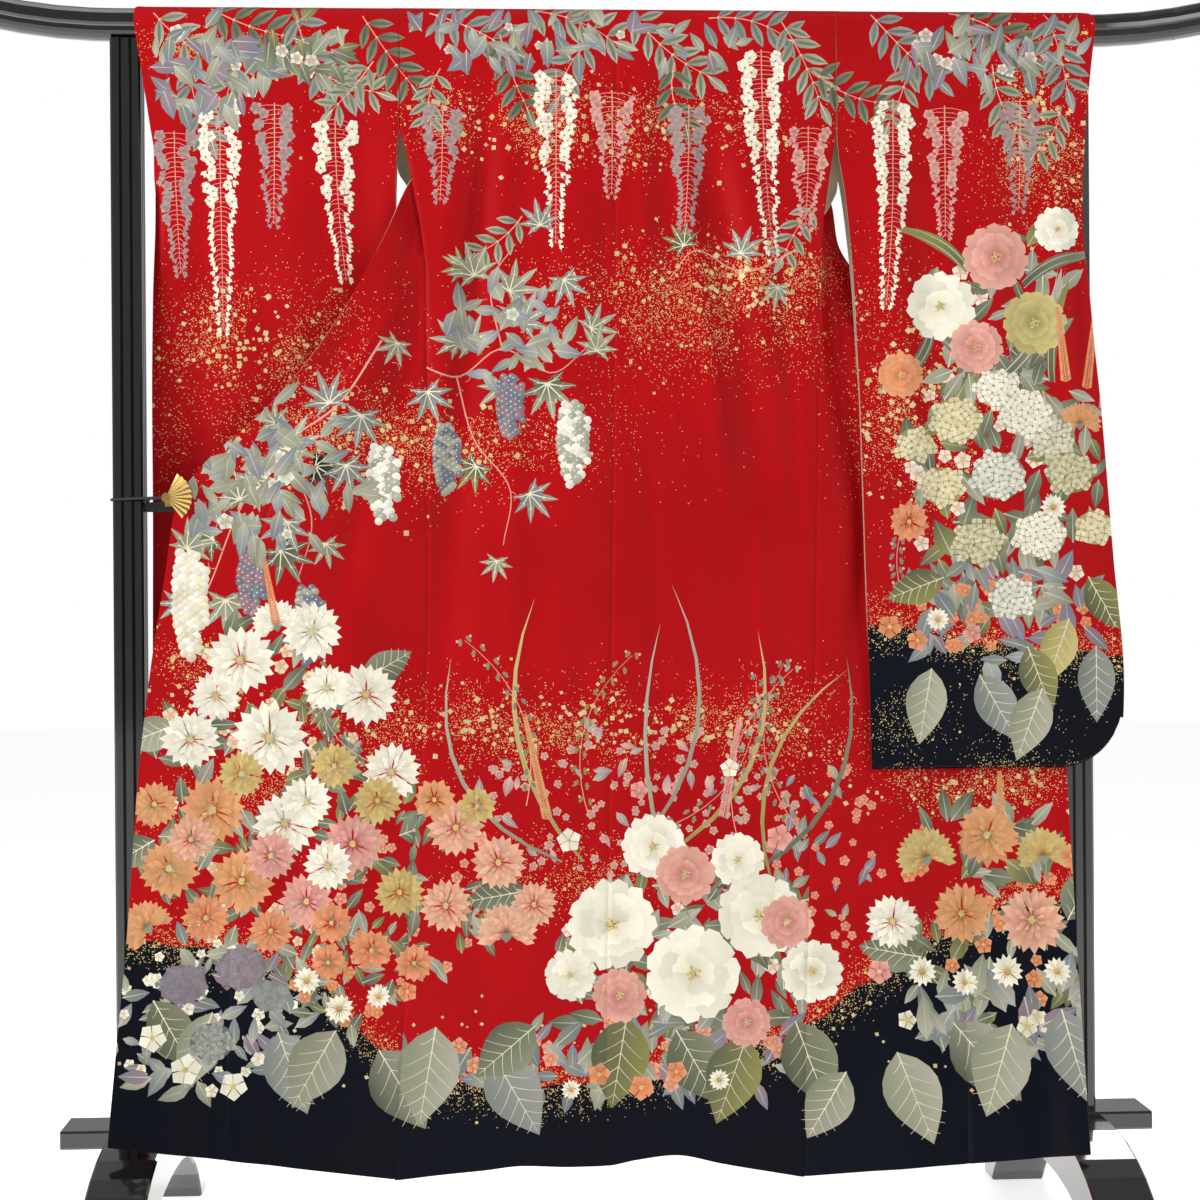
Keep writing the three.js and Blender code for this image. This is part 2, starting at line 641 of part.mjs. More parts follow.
// A reeded square post: two grooves down each face that shows.
function post(name, x) {
  const h = POST_SIDE / 2;
  const s = new THREE.Shape();
  const face = [
    [-h + 3, -h],
    [-9.5, -h],
    [-7.2, -h + 2.4],
    [-4.9, -h],
    [4.9, -h],
    [7.2, -h + 2.4],
    [9.5, -h],
    [h - 3, -h],
  ];
  const turn = ([a, b], k) => (k === 0 ? [a, b] : k === 1 ? [-b, a] : k === 2 ? [-a, -b] : [b, -a]);
  [0, 1, 2, 3].forEach((k) => face.forEach((p, i) => (k + i === 0 ? s.moveTo(...turn(p, k)) : s.lineTo(...turn(p, k)))));
  const length = RAIL_TOP - RAIL_HEIGHT - SEAM_GAP - (PLANK_TOP + SEAM_GAP);
  const g = new THREE.ExtrudeGeometry(s, { depth: length, bevelEnabled: false });
  const mesh = add(name, g, LACQUER);
  mesh.position.set(x, 0, PLANK_TOP + SEAM_GAP);
}
post("post_left", -POST_X);
post("post_right", POST_X);

function midRail() {
  const length = 2 * (POST_X - POST_SIDE / 2 - SEAM_GAP);
  const s = new THREE.Shape();
  const [a, b] = [MID_RAIL_DEPTH / 2, MID_RAIL_HEIGHT / 2];
  [[-a + 2, -b], [a - 2, -b], [a, -b + 2], [a, b - 2], [a - 2, b], [-a + 2, b], [-a, b - 2], [-a, -b + 2]].forEach((p, i) => (i ? s.lineTo(...p) : s.moveTo(...p)));
  const g = new THREE.ExtrudeGeometry(s, { depth: length, bevelEnabled: false });
  g.rotateX(Math.PI / 2).rotateZ(Math.PI / 2);
  g.computeBoundingBox();
  const c = g.boundingBox.getCenter(new THREE.Vector3());
  g.translate(-c.x, -c.y, -c.z + MID_RAIL_Z);
  add("mid_rail", g, LACQUER);
}
midRail();

function basePlank() {
  const h = (PLANK_TOP - PLANK_BOTTOM) / 2;
  const s = new THREE.Shape();
  const d = PLANK_DEPTH / 2;
  [[-d + 3, -h], [d - 3, -h], [d, -h + 3], [d, h - 3], [d - 3, h], [-d + 3, h], [-d, h - 3], [-d, -h + 3]].forEach((p, i) => (i ? s.lineTo(...p) : s.moveTo(...p)));
  const g = new THREE.ExtrudeGeometry(s, { depth: PLANK_LENGTH, bevelEnabled: false });
  g.rotateX(Math.PI / 2).rotateZ(Math.PI / 2);
  g.computeBoundingBox();
  const c = g.boundingBox.getCenter(new THREE.Vector3());
  g.translate(-c.x, -c.y, -c.z + PLANK_BOTTOM + h);
  add("base_plank", g, LACQUER);
}
basePlank();

// An arched foot, front to back, notched on top for the plank.
const FOOT_TOP = [
  // [y, z]
  [45, 162.7],
  [45.3, 182],
  [75, 182],
  [115, 180],
  [155, 174.5],
  [205, 162],
  [245, 147],
  [285, 125],
  [320, 97],
  [348, 66],
  [366, 36],
  [372, 10],
  [370, 0],
];
const FOOT_UNDER = [
  [318, 0],
  [305, 16],
  [278, 44],
  [240, 70],
  [195, 90],
  [145, 103],
  [90, 111],
  [30, 114],
];
function foot(name, x) {
  const side = [...FOOT_TOP, ...FOOT_UNDER];
  const outline = [...side, ...side.map(([y, z]) => [-y, z]).reverse()];
  const s = new THREE.Shape();
  outline.forEach((p, i) => (i ? s.lineTo(...p) : s.moveTo(...p)));
  const g = new THREE.ExtrudeGeometry(s, { depth: FOOT_WIDTH - 6, bevelEnabled: true, bevelThickness: 3, bevelSize: 2.5, bevelOffset: -2.5, bevelSegments: 1 });
  g.rotateX(Math.PI / 2).rotateZ(Math.PI / 2);
  g.computeBoundingBox();
  const c = g.boundingBox.getCenter(new THREE.Vector3());
  g.translate(x - c.x, -c.y, -g.boundingBox.min.z);
  add(name, g, LACQUER);
}
foot("foot_left", -FOOT_X);
foot("foot_right", FOOT_X);

// ------------------------------------------------------------ clips and cords
function solidOf(geometry) {
  const g = geometry.index ? geometry.toNonIndexed() : geometry;
  const seen = new Map();
  const verts = [];
  const tris = [];
  const p = g.getAttribute("position");
  for (let i = 0; i < p.count; i++) {
    const key = [p.getX(i), p.getY(i), p.getZ(i)].map((v) => Math.round(v * 1000)).join();
    if (!seen.has(key)) {
      seen.set(key, verts.length / 3);
      verts.push(p.getX(i), p.getY(i), p.getZ(i));
    }
    tris.push(seen.get(key));
  }
  const kept = [];
  for (let i = 0; i < tris.length; i += 3)
    if (tris[i] !== tris[i + 1] && tris[i + 1] !== tris[i + 2] && tris[i] !== tris[i + 2]) kept.push(tris[i], tris[i + 1], tris[i + 2]);
  return new wasm.Manifold(new wasm.Mesh({ numProp: 3, vertProperties: new Float32Array(verts), triVerts: new Uint32Array(kept) }));
}
function union(list) {
  const made = wasm.Manifold.union(list.map(solidOf)).getMesh();
  const g = new THREE.BufferGeometry();
  g.setAttribute("position", new THREE.Float32BufferAttribute(made.vertProperties, 3));
  g.setIndex([...made.triVerts]);
  const flat = g.toNonIndexed();
  flat.computeVertexNormals();
  return flat;
}
function box(x0, y0, z0, x1, y1, z1) {
  const g = new THREE.BoxGeometry(x1 - x0, y1 - y0, z1 - z0);
  g.translate((x0 + x1) / 2, (y0 + y1) / 2, (z0 + z1) / 2);
  return g;
}

// A pleated fan on the front jaw of a spring clip that holds the left front's corner.
const CLIP_PIVOT = { x: -620, z: 1078 };
const FAN_REACH = 37;
function fanClip() {
  const grid = [];
  const ribs = 9;
  const y = -76.5;
  for (let i = 0; i <= 5; i++) {
    const r = mix(5, FAN_REACH, i / 5);
    const row = [];
    for (let j = 0; j <= ribs * 2; j++) {
      const angle = THREE.MathUtils.degToRad(mix(64, -52, j / (ribs * 2)));
      const reach = i === 5 && j % 2 ? r - 1.6 : r;
      row.push([CLIP_PIVOT.x + reach * Math.cos(angle), y - (j % 2 ? 1.6 : 0) * (i / 5) - 0.4, CLIP_PIVOT.z + reach * Math.sin(angle)]);
    }
    grid.push(row);
  }
  const fan = sheet(grid, 1.3);
  const hub = new THREE.CylinderGeometry(6.2, 6.2, 4, 20);
  hub.translate(CLIP_PIVOT.x, y, CLIP_PIVOT.z);
  const bridge = box(-623, -76, 1072, -614.5, -62, 1082);
  const jaw = box(-623, -64.5, 1066, -595, -61.8, 1084);
  add("fan_clip_left", union([fan, hub, bridge, jaw]), BRASS);
}
fanClip();

function plainClip() {
  add("clip_right", union([box(626, -33.6, 1068, 642.8, -31.4, 1084), box(640.6, -33.6, 1070, 642.8, -15, 1082), box(626, -18.5, 1068, 642.8, -16, 1084), box(641, -18.5, 1078, 654.9, -16, 1084)]), BRASS);
}
plainClip();

// A loop of elastic cord round a post, drawn to its clip.
function cord(name, plan, z) {
  const path = new THREE.CatmullRomCurve3(plan.map(([x, y, dz]) => new THREE.Vector3(x, y, z + (dz || 0))), true, "centripetal");
  const g = new THREE.TubeGeometry(path, 44, CORD_DIAMETER / 2, 6, true);
  const made = solidOf(g).getMesh();
  const out = new THREE.BufferGeometry();
  out.setAttribute("position", new THREE.Float32BufferAttribute(made.vertProperties, 3));
  out.setIndex([...made.triVerts]);
  out.computeVertexNormals();
  add(name, out, CORD);
}
const round = { out: POST_X + POST_SIDE / 2 + 2.4, in: POST_X - POST_SIDE / 2 - 2.4, y: POST_SIDE / 2 + 2.4 };
cord(
  "clip_cord_left",
  [
    [-627.8, -75],
    [-648, -65],
    [-676, -47],
    [-round.out + 4, -round.y - 3],
    [-round.out, -round.y + 6],
    [-round.out - 0.3, 0],
    [-round.out, round.y - 4],
    [-round.out + 4, round.y],
    [-POST_X, round.y + 0.3],
    [-round.in - 4, round.y],
    [-round.in, round.y - 4],
    [-round.in + 0.3, 0],
    [-round.in + 2, -round.y],
    [-646, -44],
    [-628, -63],
  ],
  1078,
);
cord(
  "clip_cord_right",
  [
    [round.in, 0],
    [round.in + 0.3, round.y - 4],
    [round.in + 4, round.y],
    [POST_X, round.y + 0.3],
    [round.out - 4, round.y],
    [round.out - 0.3, round.y - 4],
    [round.out, 0],
    [round.out - 0.3, -round.y + 4],
    [round.out - 4, -round.y],
    [POST_X, -round.y - 0.3],
    [round.in + 4, -round.y],
    [round.in + 0.3, -round.y + 4],
  ],
  1081,
);

export default group;
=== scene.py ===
import math

import bpy
import numpy as np
from mathutils import Matrix, Vector
from mathutils.geometry import delaunay_2d_cdt


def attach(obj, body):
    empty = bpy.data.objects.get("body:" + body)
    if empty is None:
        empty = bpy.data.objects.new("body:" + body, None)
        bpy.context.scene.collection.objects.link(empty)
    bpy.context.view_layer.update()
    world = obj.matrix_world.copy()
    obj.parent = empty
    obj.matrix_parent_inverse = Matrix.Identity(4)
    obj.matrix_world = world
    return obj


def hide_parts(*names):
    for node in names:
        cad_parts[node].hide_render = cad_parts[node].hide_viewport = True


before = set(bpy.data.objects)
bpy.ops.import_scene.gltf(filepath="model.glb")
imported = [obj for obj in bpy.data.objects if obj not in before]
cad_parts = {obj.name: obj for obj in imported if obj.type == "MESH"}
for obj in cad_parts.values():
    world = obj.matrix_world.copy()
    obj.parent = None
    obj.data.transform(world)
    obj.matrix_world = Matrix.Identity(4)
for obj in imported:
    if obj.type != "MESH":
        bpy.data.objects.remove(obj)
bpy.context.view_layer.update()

# ---------------------------------------------------------------- the camera
# Stands 3.2 m before the hung kimono at chest height, a little to its left.
camera = bpy.data.objects.new("camera", bpy.data.cameras.new("camera"))
bpy.context.scene.collection.objects.link(camera)
camera.data.sensor_width = 36
camera.data.lens = 67.2
camera.matrix_world = (
    Matrix.Translation((-0.1785, -3.2256, 0.931))
    @ Matrix.Rotation(-0.0519, 4, "Z")
    @ Matrix.Rotation(math.pi / 2, 4, "X")
    @ Matrix.Rotation(-0.007, 4, "Z")
)
bpy.context.scene.camera = camera
bpy.context.scene.view_settings.view_transform = "Standard"

# ------------------------------------------------------ the dyed silk, its cut
# Lined silk crepe: the outer cloth is dyed red with a black hem and a drawn
# picture, the lining is plain cream, red near the hem. All pieces share it.
WALL = 1.6  # mm, outer cloth and lining together
SHIFT_X = -11  # mm, the garment's middle stands left of the stand's


def bend(t, run, p, q, slope_p, slope_q):
    """A smooth path from p to q that leaves and arrives with the given slopes."""
    t2, t3 = t * t, t * t * t
    start = (2 * t3 - 3 * t2 + 1) * p + (t3 - 2 * t2 + t) * run * slope_p
    return start + (3 * t2 - 2 * t3) * q + (t3 - t2) * run * slope_q


def curve(rows, k, col=1):
    """Smooth value of column col of a table at k, without overshoot."""
    r = np.asarray([[row[0], row[col]] for row in rows], float)
    a, b = r[:, 0], r[:, 1]
    k = np.asarray(k, float)
    if a[-1] < a[0]:
        a, k = -a, -k
    rate = np.diff(b) / np.diff(a)
    m = np.concatenate([rate[:1], np.zeros(len(a) - 2), rate[-1:]])
    p, q = rate[:-1], rate[1:]
    both = p * q > 0
    m[1:-1][both] = (2 * p * q)[both] / (p + q)[both]
    i = np.clip(np.searchsorted(a, k, side="right") - 1, 0, len(a) - 2)
    h = a[i + 1] - a[i]
    t = np.clip((k - a[i]) / h, 0, 1)
    return bend(t, h, b[i], b[i + 1], m[i], m[i + 1])


def ease(v, a, b):
    t = np.clip((v - a) / (b - a), 0, 1)
    return t * t * (3 - 2 * t)


def bump(x, c, w):
    return np.exp(-(((x - c) / w) ** 2))


def mix(a, b, t):
    return a + (b - a) * t


def normals_of(place, ab, e=0.6):
    """Outward normals of a surface given as place(ab) -> points."""
    da = place(ab + [e, 0]) - place(ab - [e, 0])
    db = place(ab + [0, e]) - place(ab - [0, e])
    n = np.cross(da, db)
    return n / np.maximum(np.linalg.norm(n, axis=1), 1e-9)[:, None]


def grid_in(loop, step_a, step_b):
    """Points of an even grid that lie inside a closed outline, clear of its edge."""
    (a0, b0), (a1, b1) = loop.min(0), loop.max(0)
    a, b = np.meshgrid(np.arange(a0 + step_a / 2, a1, step_a), np.arange(b0 + step_b / 2, b1, step_b))
    p = np.stack([a.ravel(), b.ravel()], 1)
    q, r = loop, np.roll(loop, -1, 0)
    inside = np.zeros(len(p), bool)
    near = np.full(len(p), 1e9)
    for (xa, ya), (xb, yb) in zip(q, r):
        if ya != yb:
            cross = (p[:, 1] < ya) != (p[:, 1] < yb)
            inside ^= cross & (p[:, 0] < xa + (p[:, 1] - ya) * (xb - xa) / (yb - ya))
        d = np.array([xb - xa, yb - ya])
        t = np.clip(((p - [xa, ya]) @ d) / max(d @ d, 1e-9), 0, 1)
        near = np.minimum(near, np.hypot(*(p - [xa, ya] - t[:, None] * d).T))
    return p[inside & (near > min(7.5, step_a))]


def beside(loop, gap):
    """Points that follow an outline at an even distance inside it."""
    t = np.roll(loop, -1, 0) - np.roll(loop, 1, 0)
    return loop + np.stack([-t[:, 1], t[:, 0]], 1) / np.maximum(np.hypot(*t.T), 1e-6)[:, None] * gap


def turn_area(line):
    """Area inside a closed line, below zero where it runs clockwise."""
    return (line[:, 0] * np.roll(line[:, 1], -1) - line[:, 1] * np.roll(line[:, 0], -1)).sum() / 2


def fill_outline(loop, points, shapes=(), near=1e-3):
    """Triangles of the area inside loop; each knows the uppermost shape over it, or -1."""
    coords, faces = [tuple(p) for p in loop.tolist()], [list(range(len(loop)))]
    for s in shapes:
        if turn_area(s) < 0:
            s = s[::-1]
        faces.append(list(range(len(coords), len(coords) + len(s))))
        coords += [tuple(p) for p in s.tolist()]
    coords += [tuple(p) for p in points.tolist()]
    verts, _, tris, _, _, over = delaunay_2d_cdt(coords, [], faces, 1, near, True)
    keep = [i for i, o in enumerate(over) if 0 in o]
    tris = np.array([tris[i] for i in keep])
    verts = np.array([tuple(v) for v in verts])
    a, b, c = (verts[tris[:, i]] for i in range(3))
    which = np.repeat(np.arange(len(keep)), [len(over[i]) for i in keep])
    label = np.array([o for i in keep for o in over[i]]) - 1
    middle = (a + b + c)[which] / 3
    boxes = np.array([[*s.min(0), *s.max(0)] for s in shapes] + [[-1e9, -1e9, 1e9, 1e9]])
    box = boxes[label]
    inside = (middle >= box[:, :2]).all(1) & (middle <= box[:, 2:]).all(1)
    # a shape that crosses itself may spill over its own line, so such are tested spot by spot
    size = np.bincount(label[label >= 0], (np.abs(np.cross(b - a, c - a)) / 2)[which][label >= 0], len(shapes))
    for i in np.nonzero(size > 1.2 * np.abs([turn_area(s) for s in shapes]) + 2)[0]:
        mine = np.nonzero((label == i) & inside)[0]
        s, e, p = shapes[i], np.roll(shapes[i], -1, 0), middle[mine][:, None]
        cut = (s[:, 1] > p[..., 1]) != (e[:, 1] > p[..., 1])
        rise = np.where(e[:, 1] == s[:, 1], 1e-9, e[:, 1] - s[:, 1])
        at = s[:, 0] + (p[..., 1] - s[:, 1]) / rise * (e[:, 0] - s[:, 0])
        inside[mine] = (cut & (p[..., 0] < at)).sum(1) % 2 == 1
    top = np.full(len(keep), -1)
    np.maximum.at(top, which, np.where(inside, label, -1))
    flip = np.cross(b - a, c - a) < 0
    tris[flip] = tris[flip][:, ::-1]
    used, tris = np.unique(tris, return_inverse=True)
    return verts[used], tris.reshape(-1, 3), top


def rim_of(tris):
    """The edge of a patch of triangles, as one chain of vertices."""
    e = np.concatenate([tris[:, [0, 1]], tris[:, [1, 2]], tris[:, [2, 0]]])
    there = set(map(tuple, e.tolist()))
    after = {a: b for a, b in there if (b, a) not in there}
    first = next(iter(after))
    chain = [first]
    while after[chain[-1]] != first:
        chain.append(after[chain[-1]])
        if len(chain) > len(after):
            raise RuntimeError("the edge doesn't close")
    return np.array(chain)


# ---------------------------------------------------- the picture on the cloth
# Drawn and dyed by hand across the whole robe: weeping blossom and silver leaf
# sprays over red, maple and berries, then peonies and chrysanthemums at the hem.
def dye(r, g, b):
    """Linear colour of a dye given as it looks on the cloth, 0 to 255."""
    v = np.array([r, g, b]) / 255
    return np.where(v < 0.04045, v / 12.92, ((v + 0.055) / 1.055) ** 2.4)


MILK, CREAM, BLUSH = dye(246, 242, 226), dye(236, 226, 196), dye(230, 178, 158)
SILVER, SAGE, MOSS, INK = dye(178, 176, 158), dye(138, 142, 118), dye(92, 98, 78), dye(34, 40, 40)
OLIVE, STRAW, GILT = dye(150, 146, 88), dye(206, 190, 128), dye(216, 190, 122)
ROSE, MAUVE, SLATE = dye(206, 112, 118), dye(158, 128, 134), dye(118, 128, 140)
PEACH, ORANGE, OCHRE, STEM = dye(228, 164, 122), dye(216, 112, 62), dye(192, 138, 66), dye(224, 160, 144)


def petal(base, tip, wide, belly=0.55, n=3):
    """Closed outline of a petal or leaf from its base to its tip, widest at belly."""
    base, tip = np.asarray(base, float), np.asarray(tip, float)
    s = np.linspace(0, 1, n + 2)[:, None]
    d = tip - base
    side = np.array([-d[1], d[0]]) / max(np.hypot(*d), 1e-6)
    w = wide / 2 * np.sin(np.pi * s ** (math.log(0.5) / math.log(belly)))
    line = base + d * s
    return np.concatenate([line - side * w, (line + side * w)[-2:0:-1]])


def disc(x, z, r, n=8):
    a = np.arange(n) * 2 * np.pi / n
    return np.stack([x + r * np.cos(a), z + r * np.sin(a)], 1)


def bow(p, q, sag, n=6):
    """Points of a curve from p to q that bends sideways by sag."""
    p, q = np.asarray(p, float), np.asarray(q, float)
    s = np.linspace(0, 1, n)[:, None]
    d = q - p
    side = np.array([-d[1], d[0]]) / max(np.hypot(*d), 1e-6)
    return p + d * s + side * sag * 4 * s * (1 - s)


def stroke(points, w0, w1=None):
    """A drawn line of changing width along points, as a closed outline."""
    p = np.asarray(points, float)
    d = np.gradient(p, axis=0)
    d /= np.maximum(np.hypot(*d.T), 1e-6)[:, None]
    side = np.stack([-d[:, 1], d[:, 0]], 1) * np.linspace(w0, w0 if w1 is None else w1, len(p))[:, None] / 2
    return np.concatenate([p - side, (p + side)[::-1]])


def polar(a, r):
    return np.array([r * math.cos(a), r * math.sin(a)])


GOLDEN_TURN = 2.39996  # radians from one floret of a round head to the next
GILT_MARK = 0.5  # the paint's alpha where it is gold leaf; a dye has 1, bare cloth 0


class Picture:
    """Dyed shapes in the order they were laid on, in mm along the hung robe's x and z."""

    # a peony petal's wavy end: [share of half its width, share of its reach]
    FAN = ((-1, 0.72), (-0.72, 0.93), (-0.3, 0.97), (0, 0.9), (0.3, 1.0), (0.72, 0.94), (1, 0.7))

    def __init__(self):
        self.shapes = []
        self.rng = np.random.default_rng(11)
        self.at(0, 0)

    def at(self, x, z, turn=0, size=1, where="blr"):
        c, s = math.cos(math.radians(turn)) * size, math.sin(math.radians(turn)) * size
        self.move = np.array([[c, s], [-s, c]]), np.array([x, z], float)
        self.where = where

    def jig(self, a, b):
        return self.rng.uniform(a, b)

    def lay(self, line, tone, tone2=None, a=(0, 0), b=(0, 1), gilt=False):
        turn, start = self.move
        p, q = np.asarray(a, float) @ turn + start, np.asarray(b, float) @ turn + start
        way = (q - p) / max(((q - p) ** 2).sum(), 1e-6)
        deep = self.jig(0.8, 1.02)
        tone2 = tone if tone2 is None else tone2
        line = np.asarray(line) @ turn + start
        self.shapes.append((self.where, line, tone * deep, tone2 * deep, p, way, GILT_MARK if gilt else 1.0))

    def leaf(self, base, tip, wide, tone, tone2, vein=None, belly=0.5, n=3):
        base, tip = np.asarray(base, float), np.asarray(tip, float)
        self.lay(petal(base, tip, wide, belly, n), tone, tone2, base, tip)
        if vein is not None:
            self.lay(stroke([base, mix(base, tip, 0.5), mix(base, tip, 0.92)], wide * 0.07 + 0.5, 0.3), vein)

    # a small five-petalled blossom
    def blossom(self, x, z, r, tone, tone2, heart, n=5, turn=None):
        turn = self.jig(0, 6.28) if turn is None else turn
        for k in range(n):
            tip = polar(turn + k * 2 * math.pi / n, r) + [x, z]
            self.lay(petal((x, z), tip, r * 4.4 / n, 0.66, 2), tone2, tone, (x, z), tip)
        self.lay(disc(x, z, r * 0.2, 5), heart)

    # a weeping spray: blossoms on a hanging stem that end in pairs of buds
    def weeping(self, length, tone, tone2, open_share=0.5):
        sway = self.jig(-0.06, 0.06) * length
        at = lambda s: np.array([sway * s * s, -length * s])
        self.lay(stroke([at(s) for s in np.linspace(0, 1, 9)], 1.6, 0.7), STEM)
        n = int(length / 6.5)
        for i in range(n):
            s = (i + 0.5) / n
            for side in (-1, 1):
                reach = mix(25, 5, s) * self.jig(0.45, 1.05)
                p = at(s)
                q = p + [side * reach, -self.jig(1, 6)]
                self.lay(stroke([p, mix(p, q, 0.5) + [0, 1.2], q], 0.9, 0.7), STEM)
                if s < open_share and self.jig(0, 1) < 0.72:
                    self.blossom(*(q + [side * 2, -2]), mix(9.2, 6.5, s) * self.jig(0.85, 1.1), tone, tone2, SAGE)
                else:
                    b = mix(12.5, 7.5, s)
                    tip = q + [side * b * 0.8, -b * 0.55]
                    self.lay(petal(q, tip, b * 0.5, 0.62, 2), tone2, tone, q, q + [side * b * 0.8, -b * 0.5])
                    tip = q + [side * b * 0.35, -b * 0.95]
                    self.lay(petal(q, tip, b * 0.42, 0.62, 2), tone2, tone, q, q + [side * b * 0.3, -b])

    # a spray of paired narrow leaves
    def spray(self, length, pairs, reach, tone, tone2, vein=CREAM):
        sag = self.jig(-0.12, 0.12) * length
        line = bow((0, 0), (length, 0), sag, 2 * pairs + 1)
        self.lay(stroke(line, 2.0, 0.8), STEM)
        for k in range(pairs + 1):
            p = line[min(2 * k + 1, 2 * pairs)]
            r = reach * mix(0.85, 1, math.sin(math.pi * (k + 1) / (pairs + 1.5)))
            for side in (-1, 1) if k < pairs else (0,):
                tip = p + polar(side * math.radians(self.jig(44, 58)), r)
                self.leaf(p, tip, r * 0.36, tone2, tone, vein, 0.5, 3)
                if side:
                    self.lay(petal(p, mix(p, tip, 0.96), r * 0.13, 0.5, 2), mix(tone2, MOSS, 0.5))

    # a lobed leaf with drawn veins
    def maple(self, r, tone, tone2, vein=CREAM, lobes=7):
        spread = math.radians(250)
        pts, tips = [np.array([0, -0.16 * r])], []
        for k in range(lobes):
            a = math.pi / 2 - spread / 2 + spread * k / (lobes - 1)
            long = r * (0.55 + 0.45 * math.sin(math.pi * (k + 0.5) / lobes))
            half = spread / (lobes - 1) / 2
            if k == 0:
                pts.append(polar(a - half * 0.8, r * 0.3))
            pts += [polar(a - half * 0.42, long * 0.66), polar(a, long)]
            pts += [polar(a + half * 0.42, long * 0.66), polar(a + half, r * 0.36)]
            tips.append(polar(a, long))
        self.lay(np.array(pts), tone2, tone, (0, -0.1 * r), (0, r))
        for tip in tips:
            self.lay(stroke([(0, -0.1 * r), tip * 0.45, tip * 0.9], r * 0.045, 0.4), vein)
            for s, side in ((0.4, 1), (0.4, -1)):
                p = tip * s
                q = p + polar(math.atan2(tip[1], tip[0]) + side * 0.6, r * 0.16)
                self.lay(stroke([p, mix(p, q, 0.5), q], 0.7, 0.3), vein)

    # a hanging cluster of round berries
    def berries(self, length, r, tones):
        n = int(length / r * 1.5)
        for i in range(n):
            s = i / n
            wide = r * 2.5 * math.sin(math.pi * (0.18 + 0.78 * s)) ** 0.8
            for x in np.arange(-wide, wide + 0.1, r * 2.05):
                p = np.array([x + self.jig(-1, 1) + (r if i % 2 else 0), -length * s + self.jig(-1, 1)])
                tone = tones[int(self.jig(0, len(tones)))]
                rr = r * self.jig(0.8, 1.05)
                self.lay(disc(*p, rr), mix(tone, INK, 0.35), tone, p + [rr, -rr], p + [-rr * 0.4, rr * 0.4])
                self.lay(disc(*(p + [-rr * 0.3, rr * 0.3]), rr * 0.2, 4), MILK)

    def vine(self, points, wide=2.0):
        p = np.asarray(points, float)
        t = np.linspace(0, len(p) - 1, len(p) * 5)
        i = np.clip(t.astype(int), 0, len(p) - 2)
        f = (t - i)[:, None]
        g = np.gradient(p, axis=0)
        line = bend(f, 1, p[i], p[i + 1], g[i], g[i + 1])
        self.lay(stroke(line, wide, wide * 0.5), STEM)
        for k in range(4, len(line) - 3, 9):
            a = self.jig(0, 6.28)
            q = line[k] + polar(a, 14)
            self.lay(stroke(bow(line[k], q, 5, 5), 1.0, 0.6), STEM)

    # a chrysanthemum of narrow petals in rings; span under 360 gives a side view
    def kiku(self, r, base, tip, heart=STRAW, span=360, rings=4, count=19):
        a0 = math.radians(90 - span / 2)
        if span < 360:
            self.lay(petal((0, -r * 0.3), (0, r * 0.25), r * 0.4, 0.5, 3), SAGE, MOSS)
        for ring in range(rings):
            reach = r * (1 - 0.2 * ring)
            n = max(7, count - 3 * ring)
            dark = 0.12 * (ring % 2) + 0.1
            for k in range(n):
                place = (k + 0.5 * (ring % 2)) / (n if span == 360 else n - 1)
                a = a0 + math.radians(span) * place + self.jig(-0.04, 0.04)
                end = polar(a, reach * self.jig(0.93, 1.03))
                shade = mix(base, INK, dark + 0.1 * (k % 2))
                line = petal(end * 0.12, end, 2 * math.pi * reach / count * 0.84, 0.74, 3)
                self.lay(line, shade, mix(tip, base, 0.22 * (k % 2)), end * 0.15, end)
        for k in range(7 if span == 360 else 0):
            self.lay(disc(*polar(k * 0.9, r * 0.06 * (k > 0)), r * 0.06, 5), heart)

    def daisy(self, r, tone=MILK, base=CREAM, heart=STRAW, n=14):
        for k in range(n):
            end = polar(k * 2 * math.pi / n + self.jig(-0.05, 0.05), r * self.jig(0.92, 1))
            self.lay(petal(end * 0.1, end, r * 0.34, 0.68, 2), base, tone, end * 0.2, end)
        self.lay(disc(0, 0, r * 0.24, 9), OCHRE, heart, (0, -r * 0.2), (0, r * 0.2))

    # a peony: broad waved petals in rings, each with fine lines
    def peony(self, r, base, tip, heart=STRAW, rings=3, count=7):
        for ring in range(rings):
            reach = r * (1 - 0.27 * ring)
            n = count - ring
            turn = self.jig(0, 6)
            for k in range(n):
                a = turn + k * 2 * math.pi / n
                half = math.pi / n * 1.22
                fan = [polar(a + half * s, reach * w * self.jig(0.96, 1.03)) for s, w in self.FAN]
                shade = mix(base, INK, 0.08 * (k % 2) + 0.05 * ring)
                self.lay(np.array([polar(a, reach * 0.1)] + fan), shade, tip, polar(a, reach * 0.15), polar(a, reach))
                for s in (-0.5, 0, 0.5):
                    vein = [polar(a + half * s, reach * w) for w in (0.3, 0.6, 0.86)]
                    self.lay(stroke(vein, 0.7, 0.4), mix(base, tip, 0.35))
        for k in range(9):
            self.lay(disc(*polar(k * 2.4, r * 0.035 * k**0.5 * 1.4), r * 0.045, 5), heart)

    # a dome of small four-petalled blossoms
    def dome(self, r, tone, tone2, heart=SAGE, small=8.4, squash=0.86):
        self.lay(disc(0, 0, r * 0.93, 16) * [1, squash], mix(tone2, MOSS, 0.5))
        n = int(1.15 * (r / small) ** 2)
        for k in range(n):
            p = polar(k * GOLDEN_TURN, r * 0.9 * math.sqrt((k + 0.4) / n)) * [1, squash]
            p = p + [self.jig(-1, 1), self.jig(-1, 1)]
            fade = self.jig(0, 0.35)
            self.blossom(*p, small * self.jig(0.9, 1.12), mix(tone, tone2, fade), mix(tone2, tone, 0.3), heart, 4)

